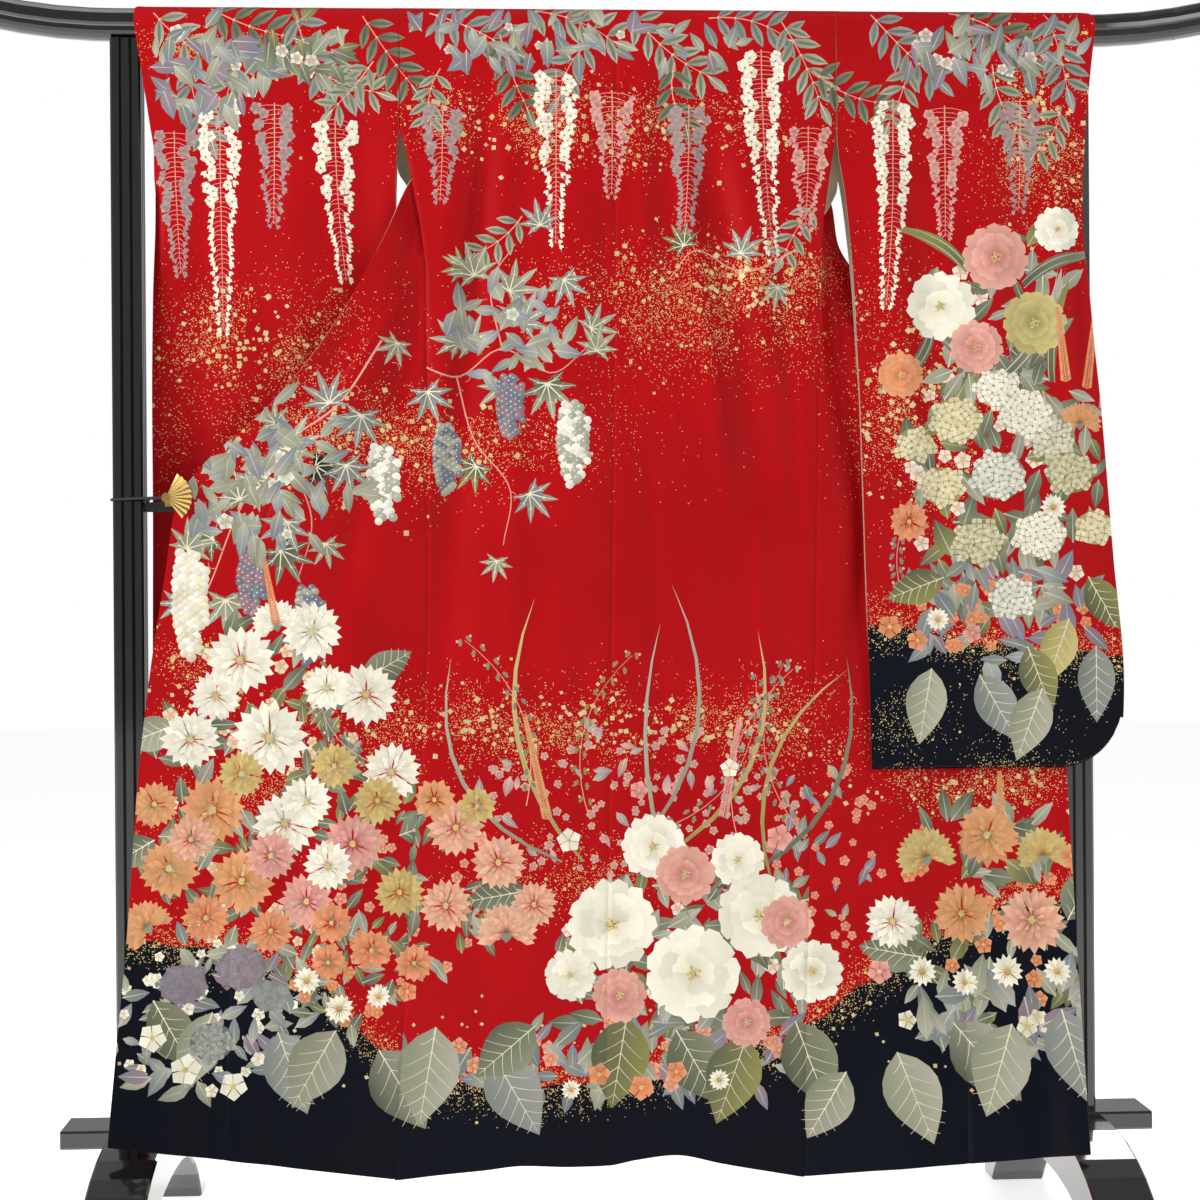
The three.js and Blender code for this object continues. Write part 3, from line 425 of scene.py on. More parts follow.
    # a broad leaf with side veins
    def broad(self, length, wide, tone, tone2, vein=CREAM, pairs=6):
        self.lay(petal((0, 0), (length, 0), wide, 0.42, 7), tone2, tone, (0, -wide / 2), (0, wide / 2))
        self.lay(stroke([(0, 0), (length * 0.5, 0), (length * 0.95, 0)], 1.8, 0.5), vein)
        for k in range(pairs):
            s = (k + 0.7) / (pairs + 0.8)
            w = wide / 2 * math.sin(math.pi * s ** (math.log(0.5) / math.log(0.42))) * 0.86
            for side in (-1, 1):
                p = np.array([length * s, 0])
                q = p + [w * 0.75, side * w]
                self.lay(stroke(bow(p, q, side * -1.5, 4), 0.9, 0.4), vein)

    # long blades with drawn stripes
    def blade(self, length, sag, wide, tone, tone2, stripes=True):
        for off, w, c in ((0, wide, None),) + (((0.25, 0.12 * wide, 1), (-0.25, 0.12 * wide, 1)) if stripes else ()):
            line = bow((0, 0), (length, 0), sag, 9) + [0, off * wide]
            taper = np.sin(np.linspace(0.35, math.pi, 9)) ** 0.7
            d = np.gradient(line, axis=0)
            side = np.stack([-d[:, 1], d[:, 0]], 1) / np.hypot(*d.T)[:, None] * (w * taper / 2)[:, None]
            first = tone2 if c is None else mix(tone, MILK, 0.3)
            self.lay(np.concatenate([line - side, (line + side)[::-1]]), first, tone, (0, 0), (length, 0))

    # an arching stem of small round leaves and buds
    def clover(self, length, sag, tone=SAGE, bud=ROSE):
        line = bow((0, 0), (length, 0), sag, 12)
        self.lay(stroke(line, 1.5, 0.7), STEM)
        for k in range(1, 12):
            for side in (-1, 1):
                p = line[k] + [self.jig(-3, 3), side * self.jig(3, 6)]
                for a in (-0.9, 0, 0.9):
                    q = p + polar(side * 1.2 + a, 6.5)
                    self.lay(petal(p, q, 4.4, 0.6, 2), mix(tone, MOSS, 0.3), tone, p, q)
                if k % 2:
                    self.lay(disc(*(p + [4, side * 6]), 2.2, 6), bud, BLUSH, p, p + [4, side * 9])

    def spike(self, length, wide, tone, tone2):
        self.lay(stroke([(0, 0), (0, length / 2), (0, length)], 1.6, 0.6), STEM)
        for k in range(int(length / 4)):
            s = k / (length / 4)
            for side in (-1, 1):
                p = np.array([0, length * s])
                q = p + [side * wide / 2 * (1 - s * 0.7), 6]
                self.lay(petal(p, q, 4.2, 0.65, 2), tone2, tone, p, q)

    # leaves and small blossoms that fill the ground between the flowers; pieces of gold leaf, cut square and strewn,
    # are laid by leafing below
    def thicket(self, rx, rz, n, size, tones, small=0.0, bud=None):
        for _ in range(n):
            a, r = self.jig(0, 6.28), math.sqrt(self.jig(0, 1))
            p = np.array([math.cos(a) * rx * r, math.sin(a) * rz * r])
            if self.jig(0, 1) < small:
                self.blossom(*p, size * self.jig(0.18, 0.3), *(bud if bud else (MILK, BLUSH)), STRAW)
                continue
            way, reach = self.jig(-2.2, 2.2) + (math.pi if p[1] < -rz * 0.4 else 0), size * self.jig(0.7, 1.25)
            tone, tone2 = tones[int(self.jig(0, len(tones)))]
            q = p + polar(way, reach)
            self.leaf(p, q, reach * self.jig(0.34, 0.5), tone, tone2, mix(tone2, MILK, 0.45), 0.42, 3)

    def leafing(self, rx, rz, n, size=5):
        for _ in range(n):
            p = np.array([self.rng.normal() * rx * 0.5, self.rng.normal() * rz * 0.5])
            a, s = self.jig(0, 1.57), size * self.jig(0.6, 1.25)
            c = [polar(a + k * math.pi / 2, s * (1 if k % 2 else self.jig(0.75, 1.1))) * 0.7 for k in range(4)]
            self.lay(p + np.array(c), mix(GILT, CREAM, self.jig(0, 0.5)), gilt=True)


art = Picture()
LEAFING = [
    # [where, x, z, half length, half height, pieces, size]
    ("bL", -470, 1700, 150, 40, 40, 5),
    ("b", -60, 1600, 280, 60, 120, 6),
    ("b", 170, 1390, 190, 60, 110, 6),
    ("L", -520, 1290, 160, 90, 90, 6),
    ("bl", -330, 1150, 260, 80, 120, 6),
    ("R", 640, 1600, 90, 130, 90, 6),
    ("R", 430, 1200, 90, 150, 110, 6),
    ("bl", -30, 750, 420, 50, 200, 6),
    ("l", -560, 840, 110, 110, 60, 6),
    ("r", 520, 650, 170, 40, 60, 6),
    ("blr", 0, 300, 700, 60, 120, 4.5),
]
for where, x, z, rx, rz, n, size in LEAFING:
    art.at(x, z, where=where)
    art.leafing(rx, rz, n, size)

PALE, DARK, GREY = (SILVER, SAGE), (SAGE, MOSS), (mix(SILVER, SLATE, 0.4), mix(SAGE, SLATE, 0.5))
SPRAYS = [
    # [where, x, z, turn, length, pairs, leaf length, tones]
    ("L", -640, 1768, -38, 120, 5, 44, PALE),
    ("L", -590, 1700, -75, 110, 5, 40, GREY),
    ("L", -560, 1775, -20, 120, 5, 46, DARK),
    ("L", -510, 1720, -110, 90, 4, 40, PALE),
    ("LL", -440, 1770, -60, 130, 5, 46, GREY),
    ("L", -420, 1690, -20, 100, 5, 38, PALE),
    ("bL", -345, 1765, -55, 120, 5, 42, DARK),
    ("bL", -330, 1700, -130, 90, 4, 36, PALE),
    ("b", -250, 1770, -25, 130, 6, 42, GREY),
    ("b", -235, 1690, -100, 80, 4, 34, PALE),
    ("b", -150, 1740, -70, 110, 5, 40, DARK),
    ("b", -110, 1775, -20, 130, 6, 44, PALE),
    ("b", -20, 1730, -120, 90, 4, 40, GREY),
    ("b", 40, 1772, -40, 140, 6, 44, PALE),
    ("b", 100, 1700, -80, 90, 4, 38, DARK),
    ("b", 150, 1765, -15, 120, 5, 42, GREY),
    ("bR", 255, 1760, -65, 130, 6, 42, PALE),
    ("bR", 300, 1690, -25, 110, 5, 40, DARK),
    ("R", 385, 1772, -45, 130, 6, 44, GREY),
    ("R", 440, 1700, -110, 90, 4, 38, PALE),
    ("R", 500, 1775, -30, 130, 6, 46, DARK),
    ("R", 560, 1700, -70, 110, 5, 42, PALE),
    ("R", 640, 1775, -75, 110, 5, 44, GREY),
    ("R", 660, 1640, -120, 80, 4, 36, PALE),
    ("b", -120, 1480, -140, 80, 4, 34, PALE),
    ("b", 300, 1500, -120, 90, 4, 34, PALE),
]
for where, x, z, turn, length, pairs, reach, tones in SPRAYS:
    art.at(x, z, turn, 1, where)
    art.spray(length, pairs, reach, *tones)

WHITE, DUSK, LILAC = (MILK, CREAM), (mix(MAUVE, SILVER, 0.5), MAUVE), (BLUSH, mix(ROSE, MAUVE, 0.5))
WEEPING = [
    # [where, x, z, length, tones, share in bloom]
    ("L", -612, 1600, 200, DUSK, 0.6),
    ("L", -548, 1650, 330, WHITE, 0.45),
    ("L", -470, 1640, 170, DUSK, 0.5),
    ("L", -385, 1620, 230, WHITE, 0.5),
    ("b", -232, 1640, 140, DUSK, 0.5),
    ("b", -70, 1690, 250, WHITE, 0.5),
    ("b", 10, 1660, 150, LILAC, 0.5),
    ("b", 120, 1640, 190, DUSK, 0.5),
    ("b", 225, 1720, 300, WHITE, 0.5),
    ("b", 292, 1610, 150, LILAC, 0.4),
    ("R", 415, 1650, 300, WHITE, 0.5),
    ("R", 490, 1640, 190, LILAC, 0.6),
    ("R", 600, 1650, 160, DUSK, 0.5),
]
for where, x, z, length, tones, share in WEEPING:
    art.at(x, z, where=where)
    art.weeping(length, *tones, share)

VINES = [
    # [where, points, width]
    ("bl", [(-335, 1245), (-290, 1275), (-215, 1250), (-150, 1290), (-80, 1255), (-30, 1290)], 3),
    ("bl", [(-150, 1290), (-165, 1380), (-130, 1440)], 2.5),
    ("bl", [(-215, 1250), (-190, 1160), (-140, 1090), (-150, 1010)], 2.5),
    ("l", [(-320, 1300), (-380, 1210), (-460, 1150), (-520, 1060), (-560, 960), (-600, 880)], 3),
    ("l", [(-460, 1150), (-420, 1050), (-440, 960)], 2.5),
    ("b", [(270, 1430), (200, 1400), (130, 1430), (90, 1390)], 2.5),
]
for where, points, wide in VINES:
    art.at(0, 0, where=where)
    art.vine(points, wide)
MAPLES = [
    # [where, x, z, turn, radius, tones]
    ("bl", -300, 1295, 150, 34, PALE),
    ("bl", -255, 1225, -160, 44, GREY),
    ("bl", -195, 1300, 20, 46, PALE),
    ("b", -205, 1405, 60, 34, (OLIVE, MOSS)),
    ("b", -135, 1375, -50, 48, PALE),
    ("b", -95, 1470, 10, 38, GREY),
    ("b", -85, 1235, 190, 50, (SILVER, MOSS)),
    ("b", -20, 1320, -60, 40, PALE),
    ("b", -190, 1120, 140, 40, (OLIVE, MOSS)),
    ("b", -110, 1080, -140, 42, GREY),
    ("b", -160, 985, 170, 30, PALE),
    ("l", -350, 1190, 170, 46, GREY),
    ("l", -410, 1120, -120, 44, (MOSS, INK)),
    ("l", -470, 1185, 40, 34, PALE),
    ("l", -500, 1100, 150, 46, PALE),
    ("l", -460, 1000, -150, 50, (SAGE, MOSS)),
    ("l", -560, 1020, 100, 40, (OLIVE, MOSS)),
    ("l", -540, 930, 180, 48, PALE),
    ("l", -605, 930, 130, 34, GREY),
    ("l", -400, 1010, -170, 34, PALE),
    ("b", 110, 1440, 30, 34, (OLIVE, MOSS)),
    ("b", -190, 1400, 15, 46, PALE),
    ("b", -120, 1330, -25, 50, GREY),
    ("b", -215, 1300, 40, 42, PALE),
    ("b", -60, 1385, 200, 40, GREY),
    ("b", -150, 1235, 170, 44, PALE),
    ("b", -15, 1290, -10, 38, PALE),
    ("l", -395, 1215, 20, 46, GREY),
    ("l", -450, 1150, -30, 52, PALE),
    ("l", -370, 1120, 190, 44, GREY),
    ("l", -520, 1080, 10, 50, PALE),
    ("l", -455, 1040, 160, 46, GREY),
    ("l", -590, 1010, -40, 44, PALE),
    ("b", 195, 1430, -20, 38, GREY),
    ("b", 245, 1375, 170, 32, PALE),
]
for where, x, z, turn, r, tones in MAPLES:
    art.at(x, z, turn, 1, where)
    art.maple(r, *tones)
BERRIES = [
    # [where, x, z, length, berry radius, tones]
    ("b", -50, 1210, 120, 7, (MILK, SILVER)),
    ("b", -230, 1180, 100, 6, (SLATE, SILVER)),
    ("b", -140, 1250, 90, 6, (SLATE, MAUVE)),
    ("l", -320, 1150, 110, 7, (MILK, SILVER)),
    ("l", -590, 1000, 150, 7.5, (MILK, CREAM)),
    ("l", -425, 950, 110, 6.5, (SLATE, SILVER)),
    ("l", -505, 1000, 90, 6, (MAUVE, SLATE)),
]
for where, x, z, length, r, tones in BERRIES:
    art.at(x, z, where=where)
    art.berries(length, r, tones)

# Thickets of leaves behind the flowers, grey-green on red, silver on the black hem.
GREEN = ((SAGE, MOSS), (MOSS, SAGE), (OLIVE, MOSS), (SAGE, SILVER))
GREY_LEAF = ((SILVER, SLATE), (SAGE, SLATE), (MAUVE, SLATE), (SILVER, SAGE))
THICKETS = [
    # [where, x, z, half width, half height, leaves, size, tones, share of blossoms, their tones]
    ("L", -560, 1690, 90, 60, 60, 40, GREY_LEAF, 0.15, (MILK, MAUVE)),
    ("L", -420, 1720, 70, 40, 36, 36, GREEN, 0.1, (MILK, MAUVE)),
    ("b", -60, 1730, 250, 30, 60, 36, GREY_LEAF, 0.15, (MILK, MAUVE)),
    ("R", 560, 1720, 130, 40, 50, 38, GREY_LEAF, 0.15, (MILK, MAUVE)),
    ("b", -140, 1320, 90, 90, 46, 40, ((SILVER, SLATE), (SILVER, SAGE)), 0.1, (MILK, SILVER)),
    ("l", -440, 1110, 90, 90, 40, 40, ((SILVER, SLATE), (SILVER, SAGE)), 0.1, (MILK, SILVER)),
    ("l", -500, 640, 150, 260, 190, 40, GREEN, 0.2, (CREAM, PEACH)),
    ("bl", -280, 520, 120, 130, 90, 34, GREEN, 0.3, (BLUSH, ORANGE)),
    ("b", 110, 420, 200, 150, 150, 46, GREEN, 0.1, (MILK, BLUSH)),
    ("b", 40, 640, 250, 110, 150, 26, ((SILVER, MAUVE), (BLUSH, MAUVE)), 0.75, (BLUSH, MAUVE)),
    ("br", 300, 560, 90, 150, 70, 28, GREY_LEAF, 0.5, (PEACH, ROSE)),
    ("r", 540, 480, 150, 150, 110, 46, GREEN, 0.25, (PEACH, ORANGE)),
    ("r", 560, 330, 150, 60, 60, 52, GREY_LEAF, 0.2, (MILK, STRAW)),
    ("b", 0, 285, 330, 50, 110, 44, GREY_LEAF, 0.3, (BLUSH, ORANGE)),
    ("l", -560, 350, 130, 110, 120, 36, GREY_LEAF, 0.3, (MILK, CREAM)),
    ("l", -360, 400, 90, 70, 60, 34, GREEN, 0.35, (PEACH, ORANGE)),
    ("R", 570, 1100, 140, 200, 150, 48, GREEN, 0.12, (MILK, BLUSH)),
    ("R", 560, 910, 130, 70, 80, 46, GREY_LEAF, 0.3, (PEACH, ORANGE)),
    ("R", 560, 1330, 110, 120, 50, 44, GREEN, 0.1, (MILK, BLUSH)),
    ("l", -520, 1130, 80, 110, 60, 44, ((SILVER, SLATE), (SILVER, SAGE)), 0.1, (MILK, SILVER)),
]
for where, x, z, rx, rz, n, size, tones, small, bud in THICKETS:
    art.at(x, z, 0, 1, where)
    art.thicket(rx, rz, n, size, tones, small, bud)

# Grasses, arching stems and broad leaves behind the flowers of the hem.
BLADES = [
    # [where, x, z, turn, length, sag, width, tones]
    ("b", -40, 560, 100, 380, 60, 7, (STRAW, OLIVE)),
    ("b", 20, 560, 80, 400, -70, 6, (SILVER, SAGE)),
    ("b", 60, 560, 65, 360, -70, 7, (STRAW, OLIVE)),
    ("b", -70, 560, 118, 330, 70, 6, (SILVER, SAGE)),
    ("br", 150, 520, 60, 380, -80, 7, (SAGE, MOSS)),
    ("br", 230, 520, 70, 330, 60, 6, (STRAW, OLIVE)),
    ("b", 110, 480, 95, 420, 40, 6, (SILVER, SAGE)),
    ("R", 560, 1250, 130, 170, 20, 20, (SAGE, MOSS)),
    ("R", 560, 1240, 60, 190, -20, 20, (SILVER, MOSS)),
    ("R", 600, 1380, 20, 120, 15, 18, (SAGE, MOSS)),
    ("R", 520, 1400, 150, 120, -15, 18, (OLIVE, MOSS)),
    ("R", 640, 1240, 80, 150, 10, 16, (OLIVE, MOSS)),
    ("R", 470, 1330, -130, 130, 20, 18, (SAGE, MOSS)),
    ("l", -560, 470, 70, 120, 20, 12, (SAGE, MOSS)),
    ("l", -610, 520, 120, 110, 20, 12, (OLIVE, MOSS)),
]
for where, x, z, turn, length, sag, wide, tones in BLADES:
    art.at(x, z, turn, 1, where)
    art.blade(length, sag, wide, *tones, wide > 10)
CLOVERS = [
    ("b", -120, 640, 110, 250, -40, SAGE, ROSE),
    ("b", -30, 620, 75, 240, 40, OLIVE, PEACH),
    ("b", 60, 600, 55, 260, -50, SAGE, ROSE),
    ("br", 190, 560, 75, 280, 50, SILVER, MAUVE),
    ("br", 270, 600, 95, 240, 40, SAGE, ROSE),
    ("l", -330, 700, 120, 160, 30, SAGE, BLUSH),
    ("R", 420, 930, 80, 150, 20, SAGE, PEACH),
]
for where, x, z, turn, length, sag, tone, bud in CLOVERS:
    art.at(x, z, turn, 1, where)
    art.clover(length, sag, tone, bud)
BROADS = [
    # [where, x, z, turn, length, width, tones]
    ("l", -640, 380, -60, 110, 60, DARK),
    ("l", -560, 360, -110, 110, 62, PALE),
    ("l", -470, 330, -70, 120, 74, GREY),
    ("bl", -390, 330, -120, 120, 80, PALE),
    ("bl", -330, 300, -60, 130, 84, (SILVER, MOSS)),
    ("bl", -250, 330, -100, 140, 88, PALE),
    ("b", -170, 290, -60, 130, 80, GREY),
    ("b", -110, 330, -140, 110, 70, DARK),
    ("b", 20, 340, -100, 130, 84, (OLIVE, MOSS)),
    ("b", 90, 320, -60, 120, 78, (SAGE, MOSS)),
    ("b", 190, 310, -110, 130, 80, (OLIVE, MOSS)),
    ("br", 260, 330, -70, 130, 80, DARK),
    ("br", 330, 260, -120, 110, 66, PALE),
    ("r", 400, 290, -70, 130, 80, PALE),
    ("r", 480, 330, -50, 130, 84, (SILVER, MOSS)),
    ("r", 560, 330, -110, 130, 80, PALE),
    ("r", 630, 350, -80, 120, 74, GREY),
    ("r", 440, 420, 170, 90, 56, DARK),
    ("r", 650, 470, 60, 90, 56, DARK),
    ("l", -350, 820, 30, 80, 46, DARK),
    ("l", -610, 760, 200, 80, 50, PALE),
    ("l", -300, 600, 20, 80, 50, DARK),
    ("l", -640, 600, 210, 70, 44, DARK),
    ("b", -120, 520, 190, 90, 54, DARK),
    ("b", 270, 500, 10, 90, 54, DARK),
    ("R", 480, 960, 200, 90, 50, (OLIVE, MOSS)),
    ("R", 690, 960, -60, 90, 50, (OLIVE, MOSS)),
    ("R", 660, 900, -110, 100, 54, (STRAW, OLIVE)),
    ("R", 600, 860, -70, 100, 54, (OLIVE, MOSS)),
    ("R", 460, 830, -100, 110, 60, PALE),
    ("R", 530, 820, -60, 110, 60, GREY),
    ("R", 620, 800, -110, 110, 60, PALE),
    ("R", 700, 860, -90, 110, 56, GREY),
]
for where, x, z, turn, length, wide, tones in BROADS:
    art.at(x, z, turn, 1, where)
    art.broad(length, wide, *tones)

SNOW, APRICOT, AMBER = (CREAM, MILK), (OCHRE, PEACH), (OCHRE, STRAW)
PINK, RUST, SALMON = (ROSE, BLUSH), (ORANGE, PEACH), (mix(ORANGE, ROSE, 0.4), mix(PEACH, MILK, 0.3))
KIKU = [
    # [where, x, z, turn, radius, tones, span]
    ("l", -520, 850, 10, 50, SNOW, 360),
    ("l", -420, 890, -15, 44, SNOW, 360),
    ("l", -345, 800, 0, 46, SNOW, 360),
    ("l", -590, 740, 20, 42, SNOW, 360),
    ("l", -480, 740, 0, 54, SNOW, 360),
    ("l", -390, 700, 0, 34, AMBER, 360),
    ("bl", -310, 690, -10, 42, SNOW, 360),
    ("l", -560, 640, 0, 48, APRICOT, 360),
    ("l", -640, 650, 30, 34, APRICOT, 360),
    ("l", -460, 620, 10, 46, SNOW, 360),
    ("l", -365, 590, 0, 44, PINK, 360),
    ("l", -620, 560, 20, 42, APRICOT, 360),
    ("l", -520, 540, -10, 46, APRICOT, 360),
    ("l", -430, 510, 0, 40, PINK, 360),
    ("bl", -300, 520, 0, 36, AMBER, 360),
    ("l", -650, 480, 40, 38, APRICOT, 220),
    ("bl", -220, 610, 0, 42, SALMON, 360),
    ("b", -160, 560, 20, 40, SALMON, 360),
    ("bl", -235, 500, -20, 38, SALMON, 360),
    ("b", -150, 460, 0, 44, SALMON, 220),
    ("l", -340, 440, 0, 30, RUST, 360),
    ("l", -400, 425, 0, 26, RUST, 360),
    ("bl", -280, 420, 0, 28, RUST, 360),
    ("l", -470, 900, 12, 36, SNOW, 220),
    ("l", -555, 800, -8, 36, SNOW, 360),
    ("l", -400, 810, 0, 34, SNOW, 360),
    ("l", -430, 650, 4, 38, SNOW, 360),
    ("l", -520, 690, 15, 34, AMBER, 360),
    ("l", -330, 650, 9, 36, AMBER, 360),
    ("l", -590, 600, 0, 34, SALMON, 360),
    ("l", -480, 575, 0, 36, PINK, 360),
    ("l", -400, 560, 0, 36, SNOW, 360),
    ("l", -570, 490, 0, 34, RUST, 360),
    ("l", -480, 470, 0, 32, RUST, 360),
    ("l", -395, 480, 0, 30, RUST, 360),
    ("bl", -250, 650, 0, 30, APRICOT, 360),
    ("b", -190, 640, 0, 28, AMBER, 360),
    ("b", -110, 500, 0, 34, SALMON, 360),
    ("r", 450, 560, 10, 44, AMBER, 220),
    ("r", 540, 590, -20, 46, APRICOT, 360),
    ("r", 620, 560, 0, 42, AMBER, 220),
    ("r", 500, 480, 0, 44, APRICOT, 360),
    ("r", 600, 470, 20, 48, SALMON, 360),
    ("r", 400, 470, -10, 40, SNOW, 360),
    ("R", 430, 1040, 0, 30, RUST, 360),
    ("R", 680, 1180, 0, 32, APRICOT, 220),
]
for where, x, z, turn, r, tones, span in KIKU:
    art.at(x, z, turn, 1, where)
    art.kiku(r, *tones, span=span, rings=4 if r > 31 else 3, count=19 if r > 31 else 14)
DAISIES = [
    ("l", -430, 400, 20), ("l", -385, 360, 22), ("bl", -330, 375, 18), ("r", 440, 400, 22),
    ("r", 500, 385, 20), ("r", 560, 400, 24), ("r", 630, 400, 20), ("R", 470, 900, 18), ("R", 640, 1060, 20),
    ("b", 150, 250, 16), ("b", -60, 240, 15),
]
for where, x, z, r in DAISIES:
    art.at(x, z, 0, 1, where)
    art.daisy(r)
PEONIES = [
    # [where, x, z, radius, tones]
    ("b", 0, 470, 66, SNOW),
    ("br", 210, 480, 62, SNOW),
    ("b", 60, 580, 48, SNOW),
    ("b", 180, 560, 40, SNOW),
    ("br", 250, 470, 40, PINK),
    ("b", -60, 400, 38, SNOW),
    ("b", 190, 330, 36, PINK),
    ("b", 115, 400, 70, SNOW),
    ("b", 105, 540, 44, PINK),
    ("b", 10, 370, 40, PINK),
    ("br", 285, 400, 46, (mix(CREAM, OLIVE, 0.3), MILK)),
    ("R", 560, 1420, 50, PINK),
    ("R", 480, 1350, 52, SNOW),
    ("R", 615, 1325, 48, (OLIVE, STRAW)),
    ("R", 530, 1290, 40, PINK),
    ("R", 420, 1250, 34, RUST),
    ("R", 650, 1460, 34, SNOW),
]
for where, x, z, r, tones in PEONIES:
    art.at(x, z, 0, 1, where)
    art.peony(r, *tones)
DOMES = [
    # [where, x, z, radius, tones]
    ("R", 560, 1230, 34, (MILK, CREAM)),
    ("R", 640, 1160, 36, (CREAM, SILVER)),
    ("R", 440, 1150, 30, (CREAM, STRAW)),
    ("R", 600, 1195, 42, (MILK, CREAM)),
    ("R", 500, 1185, 40, (CREAM, STRAW)),
    ("R", 665, 1110, 38, (CREAM, OLIVE)),
    ("R", 560, 1105, 42, (MILK, SILVER)),
    ("R", 480, 1090, 34, (CREAM, STRAW)),
    ("R", 620, 1020, 40, (MILK, CREAM)),
    ("R", 530, 1010, 40, (CREAM, OLIVE)),
    ("R", 700, 1030, 30, (CREAM, STRAW)),
    ("R", 580, 930, 36, (MILK, SILVER)),
    ("l", -600, 400, 34, (SLATE, MAUVE)),
    ("l", -520, 420, 36, (MAUVE, SLATE)),
    ("l", -560, 320, 32, (SILVER, SLATE)),
    ("l", -480, 380, 26, (SLATE, SILVER)),
]
for where, x, z, r, tones in DOMES:
    art.at(x, z, 0, 1, where)
    art.dome(r, *tones)
SPIKES = [
    ("R", 690, 1230, -8, 130, 16, PEACH, ORANGE), ("R", 660, 1240, 6, 110, 16, PEACH, OCHRE),
    ("R", 715, 1200, -4, 120, 14, BLUSH, ROSE), ("b", -90, 620, 12, 150, 16, PEACH, OCHRE),
    ("b", 160, 620, -10, 140, 16, BLUSH, ROSE), ("r", 560, 620, 0, 60, 14, PEACH, OCHRE),
    ("l", -470, 900, 10, 90, 14, PEACH, ORANGE),
]
for where, x, z, turn, length, wide, tone, tone2 in SPIKES:
    art.at(x, z, turn, 1, where)
    art.spike(length, wide, tone, tone2)
# Small pinks and bell-like blossoms strewn between the larger flowers.
STREWN = [
    # [where, x, z, radius, tones, petals]
    ("b", -20, 260, 17, RUST, 5),
    ("b", 40, 240, 19, RUST, 5),
    ("b", 90, 262, 16, RUST, 5),
    ("l", -640, 330, 20, SNOW, 5),
    ("l", -595, 285, 22, SNOW, 5),
    ("l", -530, 260, 20, SNOW, 5),
    ("bl", -290, 380, 15, RUST, 5),
    ("R", 400, 890, 18, RUST, 5),
    ("R", 440, 870, 16, RUST, 5),
    ("R", 520, 880, 15, PINK, 5),
    ("r", 380, 400, 18, PINK, 5),
    ("b", 240, 590, 20, PINK, 5),
    ("b", -60, 590, 18, SNOW, 5),
    ("b", 40, 660, 14, PINK, 5),
    ("b", 170, 690, 14, SNOW, 5),
    ("r", 660, 560, 18, RUST, 5),
]
for where, x, z, r, tones, n in STREWN:
    art.at(x, z, 0, 1, where)
    art.blossom(0, 0, r, tones[1], tones[0], STRAW, n)


def shapes_over(letter, chart, loop):
    """The picture's shapes that fall on one cut piece, on that piece's flat."""
    mine = [s for s in art.shapes if letter in s[0]]
    counts = [len(s[1]) for s in mine]
    flat = chart(np.concatenate([s[1] for s in mine]) - [SHIFT_X, 0])
    lines = np.split(flat, np.cumsum(counts)[:-1])
    (a0, b0), (a1, b1) = loop.min(0), loop.max(0)
    keep = []
    for i, line in enumerate(lines):
        if not np.isfinite(line).all():
            continue
        (p0, q0), (p1, q1) = line.min(0), line.max(0)
        if p1 > a0 and p0 < a1 and q1 > b0 and q0 < b1:
            keep.append(i)
    return [(lines[i], *mine[i][2:]) for i in keep]


